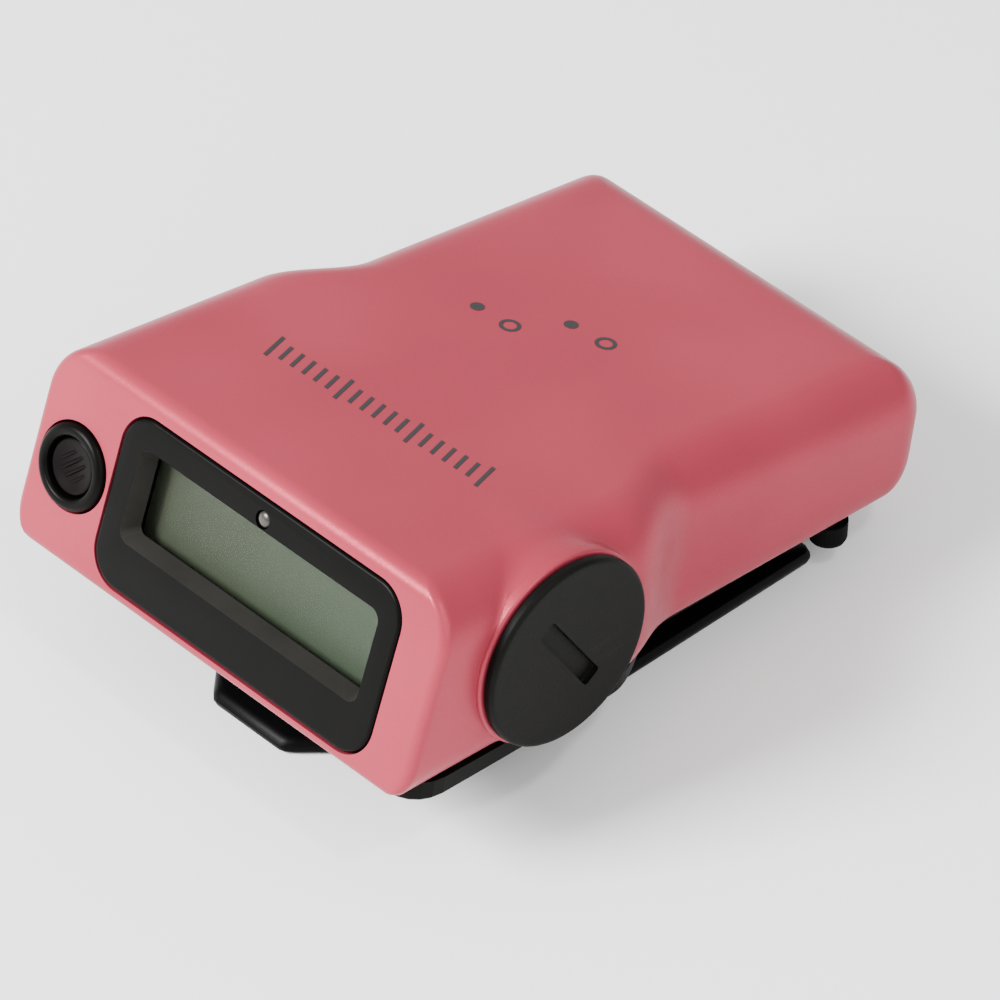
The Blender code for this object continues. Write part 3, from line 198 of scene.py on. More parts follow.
DRIFT_SIZE, SHEEN_SIZE, PEEL_SIZE, FLAKE_SIZE = 24.0, 1.8, 0.7, 0.12
PEEL_DEPTH = 0.012
paint = Finish("case_paint", rgb(152, 53, 68), 0.4, Specular_IOR_Level=0.1)
drift = paint.band(paint.noise(DRIFT_SIZE, 1.0), 0.35, 0.65)
flake = paint.band(paint.noise(FLAKE_SIZE, 0.0), 0.62, 0.78)
tone = paint.mix(drift, rgb(148, 50, 65), rgb(156, 55, 70))
paint.set("Base Color", paint.mix(flake * 0.3, tone, rgb(180, 82, 96)))
paint.set("Metallic", 0.18 + flake * 0.4)
paint.set("Roughness", 0.3 + paint.noise(SHEEN_SIZE, 3.0) * 0.1)
paint.bump(paint.noise(PEEL_SIZE), PEEL_DEPTH)
print("paint:", len(paint.tree.nodes), "nodes")

# %% [markdown]
# ## Dark plastics and rubber
# The bezel, cap, base and clip are black mouldings with slightly different textures: the bezel is
# smooth, the cap and clip have a fine spark-eroded grain, and the feet are matt rubber. One
# function makes them all from a grain size and depth, with scuffs that only change the roughness.


# %% A family of black mouldings
def colour_of(colour, gain):
    """A lighter or darker version of a colour."""
    return (colour[0] * gain, colour[1] * gain, colour[2] * gain, 1.0)


CLOUD_SIZE, SCRATCH_SIZE = 9.0, 1.1


def make_black(name, colour, roughness, grain, depth):
    black = Finish(name, colour, roughness, Specular_IOR_Level=0.06)
    cloudy = black.noise(CLOUD_SIZE, 3.0)
    black.set("Base Color", black.mix(black.band(cloudy, 0.3, 0.7), colour_of(colour, 0.85),
                                      colour_of(colour, 1.2)))
    scratches = black.band(black.noise(SCRATCH_SIZE, 4.0, (1.0, 0.12, 1.0)), 0.58, 0.72)
    black.set("Roughness", roughness + cloudy * 0.12 - scratches * 0.05)
    return black.bump(black.noise(grain, 1.0), depth)


bezel_black = make_black("bezel_black", (0.0016, 0.0015, 0.0013), 0.3, 0.5, 0.004)
grained_black = make_black("grained_black", (0.0032, 0.0032, 0.0028), 0.42, 0.25, 0.02)
clip_black = make_black("clip_black", (0.0015, 0.0015, 0.0017), 0.3, 0.6, 0.01)
soft_rubber = make_black("soft_rubber", (0.003, 0.003, 0.003), 0.7, 0.18, 0.02)
button_black = make_black("button_black", (0.0026, 0.0014, 0.0016), 0.32, 0.4, 0.008)
# painted light: the opening's walls are part of the black bezel moulding, and this lighter grey
# stands for the light they catch
reveal_painted_light = make_black("reveal_painted_light", (0.02, 0.019, 0.017), 0.3, 0.4, 0.006)
print("each black moulding:", len(bezel_black.tree.nodes), "nodes")

# %% [markdown]
# ## Metals
# Drawn or stamped metal shows fine lines along its working direction. Noise stretched along one
# axis gives those lines, and they change the colour, the roughness and the surface together, as
# they do on a real screw head or spring wire.


# %% Screws, weights and springs
LINE_SIZE, LINE_DEPTH = 0.25, 0.004


def make_metal(name, colour, roughness, stretch=(0.05, 1.0, 1.0)):
    metal = Finish(name, colour, roughness, 1.0)
    lines = metal.noise(LINE_SIZE, 3.0, stretch)
    metal.set("Base Color", metal.mix(lines * 0.5, colour_of(colour, 0.9), colour_of(colour, 1.1)))
    metal.set("Roughness", roughness + lines * 0.15)
    return metal.bump(lines, LINE_DEPTH)


steel = make_metal("screw_steel", (0.56, 0.56, 0.57), 0.25)
dark_steel = make_metal("weight_alloy", (0.22, 0.22, 0.24), 0.3)
spring_steel = make_metal("spring_wire", (0.7, 0.68, 0.62), 0.22, (1.0, 1.0, 0.1))
print("wire:", len(spring_steel.tree.nodes), "nodes")

# %% [markdown]
# ## Display, window and light pipe
# The display is a reflective liquid crystal: grey-green, with painted shade that darkens it towards
# its left end, and a fine woven look from its polariser. The window in front only adds a thin
# reflection, so it is mostly transparent and mixes in a glossy layer where it is seen at a shallow
# angle. The mix uses Layer Weight's Facing and not Fresnel, because Fresnel turns the back of a
# thin pane into a mirror.

# %% Liquid crystal, window and light pipe
crystal = Finish("liquid_crystal", (0.13, 0.16, 0.13), 0.55)
HALF_DISPLAY, CLOUD_SHIFT = 24.0, 10
across = crystal.node("ShaderNodeSeparateXYZ", {}, {"Vector": crystal.place()}, "X")
# painted shade: the colour darkens towards the display's left end, with a cloudy edge
shade = crystal.band(across + (crystal.noise(6.0, 1.0) - 0.5) * CLOUD_SHIFT,
                     -HALF_DISPLAY, HALF_DISPLAY)
crystal.set("Base Color", crystal.mix(shade, rgb(47, 48, 35), rgb(52, 62, 47)))
crystal.bump(crystal.noise(0.15, 0.0), 0.003)

window_glass = Finish("window_glass", (0.02, 0.025, 0.02), 0.06)
bare = window_glass.node("ShaderNodeBsdfTransparent", {}, {"Color": (0.93, 0.95, 0.93, 1.0)})
slant = window_glass.node("ShaderNodeLayerWeight", {}, {"Blend": 0.3}, "Facing")
smear = window_glass.noise(5.0, 3.0)
window_glass.set("Roughness", 0.05 + smear * 0.1)
layer = window_glass.node("ShaderNodeMixShader", {}, {
    0: slant * slant * 0.25 + smear * 0.03, 1: bare, 2: window_glass.shader.outputs[0]})
window_glass.fill(window_glass.tree.nodes["Material Output"].inputs["Surface"], layer)

lens_plastic = Finish("light_pipe", rgb(50, 46, 42), 0.25)
lens_plastic.set("Base Color", lens_plastic.mix(lens_plastic.noise(0.8), rgb(38, 35, 32),
                                                rgb(56, 52, 48)))
print("window:", len(window_glass.tree.nodes), "nodes")

# %% [markdown]
# ## Finishes inside the case
# The parts inside are seen when the case is taken apart, so each gets a finish of its own. Moulded,
# wrapped and printed parts only need a soft mottle and a fine grain, which one function gives. The
# circuit board has its tracks under a green mask: cells of a Voronoi pattern leave a raised net.


# %% Board, backlight, battery and ribbon
def make_plain(name, colour, roughness, metallic=0.0):
    """A moulded or printed surface with a mottle and a fine grain."""
    plain = Finish(name, colour, roughness, metallic)
    mottle = plain.noise(3.0, 3.0)
    plain.set("Base Color", plain.mix(mottle, colour_of(colour, 0.85), colour_of(colour, 1.15)))
    plain.set("Roughness", roughness + (mottle - 0.5) * 0.1)
    return plain.bump(plain.noise(0.4), 0.01)


MASK_GREEN, TRACK_GREEN = (0.02, 0.12, 0.05, 1.0), (0.05, 0.22, 0.09, 1.0)
board_green = Finish("circuit_board", MASK_GREEN, 0.35)
tracks = board_green.node("ShaderNodeTexVoronoi", {"distance": "CHEBYCHEV"},
                          {"Vector": board_green.place(), "Scale": 0.5}, "Distance")
mask = board_green.band(tracks, 0.5, 0.56)
board_green.set("Base Color", board_green.mix(mask, MASK_GREEN, TRACK_GREEN))
board_green.bump(mask, 0.03)

backlight_white = make_plain("backlight_white", (0.75, 0.75, 0.72), 0.4)
inner_grey = make_plain("inner_grey", (0.05, 0.05, 0.05), 0.6)
cell_wrap = make_plain("cell_wrap", (0.45, 0.45, 0.48), 0.3, metallic=0.7)
ribbon_amber = make_plain("ribbon_amber", (0.42, 0.2, 0.05), 0.35)
print("circuit board:", len(board_green.tree.nodes), "nodes")

# %% [markdown]
# ## Shaping tools
# Most pieces are either a stack of outlines skinned together or a profile turned about an axis.
# Both are a few lines of bmesh: make rings of vertices and join neighbours with quads.


# %% Skins and turned pieces
def loft(rings, bm=None):
    """Quads between rings of equal length, and a flat cap at each end."""
    bm = bm or bmesh.new()
    loops = [[bm.verts.new(p) for p in ring] for ring in rings]
    for low, high in zip(loops, loops[1:]):
        for i in range(len(low)):
            j = (i + 1) % len(low)
            bm.faces.new((low[i], low[j], high[j], high[i]))
    bm.faces.new(loops[0][::-1])
    bm.faces.new(loops[-1])
    return bm


def turned(profile, segments=96):
    """Solid or band of revolution about z from (radius, height) points.

    A profile that starts and ends on the axis closes by itself; any other is a closed outline.
    """
    bm = bmesh.new()
    columns = []
    tips = {}
    for i in range(segments):
        a = 2 * math.pi * i / segments
        column = []
        for k, (radius, height) in enumerate(profile):
            if radius == 0:
                if k not in tips:
                    tips[k] = bm.verts.new((0, 0, height))
                column.append(tips[k])
            else:
                column.append(bm.verts.new((radius * math.cos(a), radius * math.sin(a), height)))
        columns.append(column)
    solid = profile[0][0] == 0 and profile[-1][0] == 0
    spans = range(len(profile) - 1 if solid else len(profile))
    for i in range(segments):
        here, there = columns[i], columns[(i + 1) % segments]
        for k in spans:
            n = (k + 1) % len(profile)
            quad = (here[k], there[k], there[n], here[n])
            bm.faces.new(list(dict.fromkeys(quad)))
    return bm


def arc(centre, radius, start, stop, steps):
    """Points of a circular arc, in degrees."""
    return [(centre[0] + radius * math.cos(math.radians(start + (stop - start) * i / steps)),
             centre[1] + radius * math.sin(math.radians(start + (stop - start) * i / steps)))
            for i in range(steps + 1)]


def rounded_box(width, height, radius, steps=12):
    """Counter-clockwise outline of a rectangle with round corners, about the origin."""
    x, y = width / 2 - radius, height / 2 - radius
    corners = ((x, -y, -90), (x, y, 0), (-x, y, 90), (-x, -y, 180))
    return [p for cx, cy, start in corners for p in arc((cx, cy), radius, start, start + 90, steps)]


def on_facet(outline, depth, centre):
    """An (across, up) outline on the leaning front, at a depth behind its face."""
    return [(centre[0] + u, depth, centre[1] + v) for u, v in outline]


print("a turned disc has", len(turned([(0, 0), (1, 0), (1, 1), (0, 1)]).verts), "vertices")

# %% [markdown]
# ## Pieces, cuts and soft edges
# A bmesh becomes a piece when it gets a finish, a place and the body that it rides on. Openings are
# cut with an exact Boolean, whose tool is thrown away afterwards. Sharp moulded edges are rounded
# with a bevel that is limited by angle, because a perfectly sharp edge never catches any light.


# %% From a bmesh to a finished piece
def make_piece(name, bm, place, finish, body=None, replaces=(), sharp=32):
    """A smooth-shaded object from a bmesh in local millimetres."""
    bmesh.ops.remove_doubles(bm, verts=bm.verts, dist=1e-4)
    bmesh.ops.recalc_face_normals(bm, faces=bm.faces)
    mesh = bpy.data.meshes.new(name)
    bm.to_mesh(mesh)
    bm.free()
    mesh.transform(place)
    mesh.materials.append(finish.material)
    mesh.shade_smooth()
    mesh.set_sharp_from_angle(angle=math.radians(sharp))
    piece = bpy.data.objects.new(name, mesh)
    bpy.context.scene.collection.objects.link(piece)
    if body:
        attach(piece, body)
    if replaces:
        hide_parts(*replaces)
    return piece


def carve(piece, bm, place, operation="DIFFERENCE", sharp=32, finish=None):
    """Applies one exact Boolean and removes its tool; a finish colours the cut faces."""
    tool = make_piece(piece.name + "_tool", bm, place, finish or paint)
    if not finish:
        tool.data.materials[0] = piece.data.materials[0]
    mod = piece.modifiers.new("carve", "BOOLEAN")
    mod.operation = operation
    mod.solver = "EXACT"
    mod.object = tool
    mod.material_mode = "TRANSFER"
    bpy.context.view_layer.update()
    evaluated = piece.evaluated_get(bpy.context.evaluated_depsgraph_get())
    mesh = bpy.data.meshes.new_from_object(evaluated)
    piece.modifiers.clear()
    piece.data = mesh
    bpy.data.objects.remove(tool)
    mesh.shade_smooth()
    mesh.set_sharp_from_angle(angle=math.radians(sharp))


SOFT_ANGLE = 35


def soften(piece, width, segments=3):
    """Rounds the edges sharper than an angle, and keeps flat faces looking flat."""
    bevel = piece.modifiers.new("soften", "BEVEL")
    bevel.width = width * MM
    bevel.segments = segments
    bevel.limit_method = "ANGLE"
    bevel.angle_limit = math.radians(SOFT_ANGLE)
    bevel.harden_normals = True
    bevel.use_clamp_overlap = True


print("shaping tools ready")

# %% [markdown]
# ## The case shell
# The shell is one moulding: flat on top, 7 mm round along its long edges, necked in behind the
# battery, and swollen on the right into a boss that carries the cap. Separate primitives joined by
# Booleans would leave a hard crease round the boss. Here the outline of every level is worked out
# from the same few sizes, and near the battery's axis it is eased out to the boss, so the blend
# between case and boss comes out of the skin itself.

# %% Sizes of the shell, in millimetres
LENGTH = 84.3
FRONT_HALF = 34.0
REAR_HALF = 29.5
NECK = (30.0, 43.5)
FRONT_HEIGHT = 25.8
WEDGE = 0.107
TOP_ROUND = 7.0
FRONT_ROUND = 1.7
LOWER_ROUND = 4.5
FRONT_TUCK = 3.0
REAR_TUCK = 1.2
LOWER_FRONT_ROUND = 1.4
FRONT_CORNER = 1.3
REAR_CORNER = 5.0
WALL = 2.2
FLANGE = 1.8
BASE_FRONT_INSET = 3.6
BASE_SIDE_INSET = 1.3
BASE_REAR_INSET = 3.4
BASE_REAR_HALF = REAR_HALF - 2.4
BASE_FRONT_CORNER = 4.6
BASE_REAR_CORNER = 4.0
SEAT = 1.2
BOSS_RADIUS = 12.7
BOSS_TAPER = 0.07
BOSS_ROOT = 16.0
BOSS_REACH = 8.0
BOSS_BLEND = 1.2
BORE_RADIUS = 9.9
FRONT_STEPS, SIDE_POINTS, REAR_STEPS = 10, 128, 14
LEAN = math.tan(FACET_LEAN)
print(f"case: {LENGTH} mm long, {2 * FRONT_HALF} mm wide, {FRONT_HEIGHT} mm high in front")

# %% [markdown]
# ## Blends of the shell
# Three small rules shape every level: a smooth step narrows the case at its neck, a quarter circle
# draws in its rounded edges, and a smooth maximum lifts the skin over the battery without a crease.


# %% Neck, rounded edges and boss
def smooth_step(t):
    """0 to 1 with a level start and end."""
    t = min(max(t, 0.0), 1.0)
    return t * t * (3 - 2 * t)


def half_width(y, front, rear):
    """Half of the width at a length y, between the sizes before and behind the neck."""
    return front + (rear - front) * smooth_step((y - NECK[0]) / (NECK[1] - NECK[0]))


def draw_in(depth, radius):
    """How far a rounded edge is drawn in at a depth below its flat."""
    if depth >= radius:
        return 0.0
    return radius - math.sqrt(max(radius ** 2 - (radius - depth) ** 2, 0))


def smooth_max(a, b, k):
    """The larger of two heights, rounded where they cross."""
    h = min(max(0.5 + 0.5 * (b - a) / k, 0.0), 1.0)
    return a + (b - a) * h + k * h * (1 - h)


def swell(x, y, z):
    """Moves a point of the right-hand edges out to the boss about the battery's axis."""
    radius = BOSS_RADIUS - BOSS_TAPER * (SIDE_X - x)
    across = abs(y - BATTERY_Y)
    if x < 0 or across >= radius:
        return z
    half = math.sqrt(radius ** 2 - across ** 2)
    reach = smooth_step((x - BOSS_ROOT) / BOSS_REACH)
    if z > BATTERY_Z:
        swollen = smooth_max(z, BATTERY_Z + half, BOSS_BLEND)
    else:
        swollen = -smooth_max(-z, half - BATTERY_Z, BOSS_BLEND)
    return z + (swollen - z) * reach


print(f"boss rises {swell(SIDE_X, BATTERY_Y, 0.0):.2f} mm above the top")

# %% [markdown]
# ## Outlines of the shell
# Every level of the skin has the same number of points in the same order, so any two can be joined.
# One function draws a level; three others ask it for the rounded top, the wall down to the sloping
# lower edge, and the opening for the base.


# %% One outline per level
def level(front_y, rear_y, height, side_in=0.0, front=FRONT_HALF, rear=REAR_HALF,
          front_corner=FRONT_CORNER, rear_corner=REAR_CORNER, boss=False):
    """One closed outline of the shell; height is a function of y."""
    start, end = front_y + front_corner, rear_y - rear_corner
    x = half_width(start, front, rear) - side_in
    side = arc((x - front_corner, start), front_corner, -90, 0, FRONT_STEPS)
    for i in range(1, SIDE_POINTS):
        y = start + (end - start) * i / SIDE_POINTS
        side.append((half_width(y, front, rear) - side_in, y))
    x = half_width(end, front, rear) - side_in
    side += arc((x - rear_corner, end), rear_corner, 0, 90, REAR_STEPS)
    left = [(-x, y, height(y)) for x, y in reversed(side)]
    right = [(x, y, swell(x, y, height(y)) if boss else height(y)) for x, y in side]
    return right + left


def upper_level(depth, inset=0.0, margin=0.0, boss=False):
    """Outline at a depth below the top, for the skin or a wall's thickness inside it."""
    side = draw_in(depth - inset, TOP_ROUND - inset) + inset + margin
    front = draw_in(depth - inset, FRONT_ROUND) + inset + margin
    return level(-depth * LEAN + front, LENGTH - side, lambda y: -depth, side, boss=boss,
                 front_corner=max(FRONT_CORNER - front / 2, 0.6),
                 rear_corner=max(REAR_CORNER - side, 1.2))


def lower_edge(y):
    return -FRONT_HEIGHT + WEDGE * y


def lower_level(height, inset=0.0, boss=False, drop=0.0):
    """Outline at a height above the sloping lower edge."""
    tuck = draw_in(height, LOWER_ROUND) / LOWER_ROUND
    front = draw_in(height, LOWER_FRONT_ROUND) + inset
    front_y = (height - FRONT_HEIGHT) * LEAN / (1 - WEDGE * LEAN) + front
    return level(front_y, LENGTH - tuck * REAR_TUCK - inset,
                 lambda y: lower_edge(y) + height - drop, inset,
                 FRONT_HALF - tuck * FRONT_TUCK, REAR_HALF - tuck * REAR_TUCK, boss=boss)


def base_level(inset, height):
    """Outline of the opening that the base fills."""
    front_y = -FRONT_HEIGHT * LEAN + BASE_FRONT_INSET + inset
    return level(front_y, LENGTH - BASE_REAR_INSET - inset, lambda y: lower_edge(y) + height, inset,
                 FRONT_HALF - BASE_SIDE_INSET, BASE_REAR_HALF, BASE_FRONT_CORNER - inset,
                 BASE_REAR_CORNER - inset / 2)


def eased(count):
    """Numbers from 0 to 1 that crowd towards 0, as points on a quarter circle do."""
    return [1 - math.cos(math.pi / 2 * i / count) for i in range(count + 1)]


TOP_RINGS, LOWER_RINGS, WALL_RINGS, CAVITY_RINGS = 14, 8, 8, 6
rounding = [TOP_ROUND * e for e in eased(TOP_RINGS)]
print(f"shell outline has {len(upper_level(0))} points")

# %% [markdown]
# The top of the skin carries a few extra outlines inside the flat, so that the large flat face
# keeps a flat normal and only the part by the boss rises. The walls are divided evenly down to the
# lower edge. The boss's crisp end is a separate collar with a rounded rim.

# %% Skin of the shell
low_ring, high_ring = lower_level(LOWER_ROUND), upper_level(TOP_ROUND)
rings = [lower_level(0.0, 1.0)]
rings += [lower_level(LOWER_ROUND * e, boss=True) for e in eased(LOWER_RINGS)]
for i in range(1, WALL_RINGS):
    rings.append([Vector(a).lerp(Vector(b), i / WALL_RINGS) for a, b in zip(low_ring, high_ring)])
rings += [upper_level(d, boss=True) for d in reversed(rounding)]
rings += [upper_level(0.0, margin=m, boss=True) for m in (1.0, 2.5, 4.5, 7.0, 11.2)]
shell = make_piece("case_shell", loft(rings), CASE, paint, "case", ("top_case",))
COLLAR_ROOT, COLLAR_ROUND, COLLAR_INNER = SIDE_X - 1.4, 0.4, 0.2
collar = [(BORE_RADIUS + 1.6, COLLAR_ROOT)]
collar += arc((BORE_RADIUS + 1.8, SIDE_X - COLLAR_INNER), COLLAR_INNER, 180, 90, 3)
collar += arc((BOSS_RADIUS - COLLAR_ROUND, SIDE_X - COLLAR_ROUND), COLLAR_ROUND, 90, 0, 6)
collar += [(BOSS_RADIUS, COLLAR_ROOT)]
make_piece("boss_collar", turned(collar, 160), CAP, paint, "case")
print(f"case_shell skin: {len(shell.data.polygons)} faces")

# %% [markdown]
# The shell is hollow like the moulding: one cut for the cavity, one for the mouth that the base
# closes, and one for each thing that shows through it. The cavity keeps the wall's thickness.

# %% Hollow and openings of the shell
BEZEL_TOP = -2.75
BEZEL_SIZE = (47.2, 22.2, 4.5)
BEZEL_CENTRE = (3.3, BEZEL_TOP - BEZEL_SIZE[1] / 2)
BEZEL_HOLE = 4.5
BUTTON_CENTRE = (-26.7, -14.4)
RING_RADIUS = 5.4
FIT = 0.25


def facing(centre):
    """Places a turned piece on the leaning front with its axis pointing out."""
    turn = Matrix.Rotation(math.pi / 2, 4, "X")
    return FACET @ Matrix.Translation((centre[0], 0, centre[1])) @ turn


def rod(radius, low, high):
    """Profile of a plain round cutter."""
    return [(0, low), (radius, low), (radius, high), (0, high)]


inner_depths = [WALL + (TOP_ROUND - WALL) * e for e in eased(CAVITY_RINGS)]
cavity = [lower_level(FLANGE + LOWER_ROUND, WALL, drop=LOWER_ROUND)]
cavity += [upper_level(d, WALL) for d in reversed(inner_depths)]
carve(shell, loft(cavity), CASE)
carve(shell, loft([base_level(SEAT, -3.0), base_level(SEAT, 2 * FLANGE)]), CASE)
bezel_hole = rounded_box(BEZEL_SIZE[0] + 2 * FIT, BEZEL_SIZE[1] + 2 * FIT, BEZEL_SIZE[2] + FIT)
carve(shell, loft([on_facet(bezel_hole, y, BEZEL_CENTRE) for y in (-WALL, BEZEL_HOLE)]), FACET)
carve(shell, turned(rod(RING_RADIUS + FIT, -4, 4)), facing(BUTTON_CENTRE))
BORE_START, BORE_SHOULDER, BORE_END, SEAL_RADIUS = 23, 33.2, 40, 11.6
carve(shell, turned([(0, BORE_START), (BORE_RADIUS, BORE_START), (BORE_RADIUS, BORE_SHOULDER),
                     (SEAL_RADIUS, BORE_SHOULDER), (SEAL_RADIUS, BORE_END), (0, BORE_END)]), CAP)
print(f"case_shell: {len(shell.data.polygons)} faces after cutting")

# %% [markdown]
# ## Bezel
# The bezel is a black moulding let into the front. Its opening has slanted walls that catch the
# light, and their lighter grey is painted light on the black moulding. A small hole above the
# opening lets the alarm light through. It is made as a solid plate and cut, then every sharp edge
# gets a small round so that it draws a thin highlight.

# %% Bezel
OPENING = (39.7, 11.2)
OPENING_DROP = 4.25
OPENING_CENTRE = (BEZEL_CENTRE[0], BEZEL_TOP - OPENING_DROP - OPENING[1] / 2)
WINDOW_Y = 2.6
LED_CENTRE = (3.4, BEZEL_TOP - 2.5)
LED_HOLE = 1.15
PROUD, BEZEL_BACK, EDGE = 0.15, 4.2, 0.5

width, height, corner = BEZEL_SIZE
plate = []
for a in range(0, 91, 15):
    e = EDGE - EDGE * math.sin(math.radians(a))
    y = -PROUD + EDGE - EDGE * math.cos(math.radians(a))
    outline = rounded_box(width - 2 * e, height - 2 * e, corner - e, 16)
    plate.append(on_facet(outline, y, BEZEL_CENTRE))
plate.append(on_facet(rounded_box(width, height, corner, 16), BEZEL_BACK, BEZEL_CENTRE))
bezel = make_piece("bezel_frame", loft(plate), FACET, bezel_black, "case",
                   ("display_bezel",))
reveal = []
for y, grow in ((-3.0, 1.46), (-PROUD, 0.55), (PROUD, 0.42), (WINDOW_Y, -0.5)):
    outline = rounded_box(OPENING[0] + grow * 2, OPENING[1] + grow * 2, 1.0 + max(grow, 0))
    reveal.append(on_facet(outline, y, OPENING_CENTRE))
# the cut walls take the lighter grey, painted light on the black moulding
carve(bezel, loft(reveal), FACET, finish=reveal_painted_light)
pocket = rounded_box(OPENING[0] + 1.5, OPENING[1] + 1.5, 0.9)
carve(bezel, loft([on_facet(pocket, y, OPENING_CENTRE) for y in (WINDOW_Y - 0.3, 9)]), FACET)
carve(bezel, turned(rod(LED_HOLE, -9, 9), 48), facing(LED_CENTRE))
soften(bezel, 0.14)
print("bezel faces:", len(bezel.data.polygons))

# %% [markdown]
# ## Window and alarm light
# The window is a thin clear pane behind the opening, with a small chamfer round both faces. The
# alarm light is the end of a clear pin: a turned rod with a slightly domed tip.

# %% Window and alarm light
PANE, PANE_EDGE = 0.8, 0.15
glass = []
for e, y in ((PANE_EDGE, WINDOW_Y), (0, WINDOW_Y + PANE_EDGE), (0, WINDOW_Y + PANE - PANE_EDGE),
             (PANE_EDGE, WINDOW_Y + PANE)):
    outline = rounded_box(OPENING[0] + 0.9 - 2 * e, OPENING[1] + 0.9 - 2 * e, 0.9)
    glass.append(on_facet(outline, y, OPENING_CENTRE))
make_piece("window_pane", loft(glass), FACET, window_glass, "case", ("display_window",))
DOME, DOME_START, PIN_LENGTH = 0.45, -0.25, 3.9
dome = [(math.cos(math.radians(a)), DOME_START + DOME * math.sin(math.radians(a)))
        for a in range(0, 90, 15)]
pin = [(0, -PIN_LENGTH), (1.0, -PIN_LENGTH)] + dome + [(0, DOME_START + DOME)]
make_piece("alarm_light", turned(pin, 48), facing(LED_CENTRE), lens_plastic, "case",
           ("alarm_light_pipe",))
print("window:", OPENING[0] + 0.9, "mm wide")

# %% [markdown]
# ## Button ring
# A raised black ring stands round the key. It is turned: a rounded lip, a gentle outer shoulder,
# and a short collar below that guides the key's stem.

# %% Button ring
ring = [(3.8, -2.4)] + arc((4.35, 0.32), 0.55, 180, 90, 6) + arc((4.5, 0.0), 0.9, 80, 0, 10)
ring += [(RING_RADIUS, -3.4), (1.9, -3.4), (1.9, -2.4)]
make_piece("button_bezel", turned(ring, 128), facing(BUTTON_CENTRE), bezel_black, "case",
           ("button_ring",))
print("ring:", 2 * RING_RADIUS, "mm across")

# %% [markdown]
# ## Button key
# The key is dished for a fingertip and has short grip ribs that run at 45 degrees. The ribs are
# rounded bars sunk into the dish and joined to it, so they stand out only a little.

# %% Button key
KEY_RADIUS, KEY_EDGE = 3.5, 0.3
STEM_RADIUS, STEM_END, KEY_BACK = 1.6, -5.6, -1.5
DISH = 0.5
RIB_PITCH, RIB_ROUND, RIB_LEVEL, RIB_SPAN = 1.05, 0.25, -0.33, 0.62
key = [(0, STEM_END), (STEM_RADIUS, STEM_END), (STEM_RADIUS, KEY_BACK), (KEY_RADIUS, KEY_BACK)]
key += arc((KEY_RADIUS - KEY_EDGE, -0.2), KEY_EDGE, 0, 90, 4)
key += [(KEY_RADIUS * t, 0.1 - DISH * math.cos(t * math.pi / 1.8)) for t in (0.85, 0.7, 0.5, 0.3)]
key += [(0, 0.1 - DISH)]
button = make_piece("button_key", turned(key, 96), facing(BUTTON_CENTRE), button_black, "button",
                    ("push_button",))
for n in (-1.5, -0.5, 0.5, 1.5):
    offset = n * RIB_PITCH
    half = math.sqrt((KEY_RADIUS * RIB_SPAN) ** 2 - offset ** 2)
    bar = [(0, -half)] + arc((0, -half + RIB_ROUND), RIB_ROUND, -60, 0, 3)
    bar += arc((0, half - RIB_ROUND), RIB_ROUND, 0, 60, 3) + [(0, half)]
    lay = (facing(BUTTON_CENTRE) @ Matrix.Rotation(math.radians(45), 4, "Z")
           @ Matrix.Translation((0, offset, RIB_LEVEL)) @ ALONG_X)
    carve(button, turned(bar, 16), lay, "UNION")
print("button faces:", len(button.data.polygons))

# %% [markdown]
# ## Battery cap
# The cap is a thick black disc with a coin slot. Its rim has a rounded edge and its slot has soft
# edges, as moulded caps have. It is turned, and the slot is cut at the angle where it stopped when
# the cap was screwed home.

# %% Battery cap
CAP_SEAT = SIDE_X + 0.3
CAP_TOP = CAP_SEAT + 1.3
CAP_RADIUS, CAP_EDGE, CAP_FOOT = 12.3, 0.6, 0.15
SKIRT_RADIUS, SKIRT_INNER, SKIRT_END = 9.3, 8.1, CAP_SEAT - 6.4
SLOT_LENGTH, SLOT_WIDTH, SLOT_ANGLE = 13.4, 2.6, 42.5
cap = [(0, CAP_SEAT - 0.8), (SKIRT_INNER, CAP_SEAT - 0.8), (SKIRT_INNER, SKIRT_END),
       (SKIRT_RADIUS - 0.3, SKIRT_END), (SKIRT_RADIUS, SKIRT_END + 0.3), (SKIRT_RADIUS, CAP_SEAT)]
cap += arc((CAP_RADIUS - CAP_FOOT, CAP_SEAT + CAP_FOOT), CAP_FOOT, -90, 0, 3)
cap += arc((CAP_RADIUS - CAP_EDGE, CAP_TOP - CAP_EDGE), CAP_EDGE, 0, 90, 8)
cap += [(11.2, CAP_TOP), (0, CAP_TOP)]
lid = make_piece("cap_lid", turned(cap, 192), CAP, grained_black, "cap",
                 ("battery_cap",))
slot = loft([[(x, y, CAP_TOP + h) for x, y in rounded_box(SLOT_LENGTH - e, SLOT_WIDTH - e, 0.5, 6)]
             for h, e in ((-0.9, 0.24), (-0.7, 0.0), (0.6, 0.0))])
carve(lid, slot, CAP @ Matrix.Rotation(math.radians(SLOT_ANGLE), 4, "Z"))
soften(lid, 0.16)
print("cap faces:", len(lid.data.polygons))

# %% [markdown]
# ## Thread
# The cap's skirt carries a coarse thread, which shows once the cap is screwed out. It is a ridge
# swept round a helix and laid on the skirt. The ridge fades at both ends, as a moulded thread does.


# %% Thread on the cap's skirt
THREAD_PITCH, THREAD_TURNS, THREAD_STEPS, THREAD_FADE = 1.5, 3.0, 72, 12
RIDGE = ((-0.3, -0.55), (0.28, -0.15), (0.28, 0.15), (-0.3, 0.55))


def helix(radius, start):
    """The ridge swept round the z axis; its section is (out, up) points."""
    rings = []
    last = int(THREAD_STEPS * THREAD_TURNS)
    for i in range(last + 1):
        a = 2 * math.pi * i / THREAD_STEPS
        fade = min(1.0, i / THREAD_FADE, (last - i) / THREAD_FADE)
        rings.append([((radius + u * fade) * math.cos(a), (radius + u * fade) * math.sin(a),
                       start + v + THREAD_PITCH * i / THREAD_STEPS) for u, v in RIDGE])
    return loft(rings)


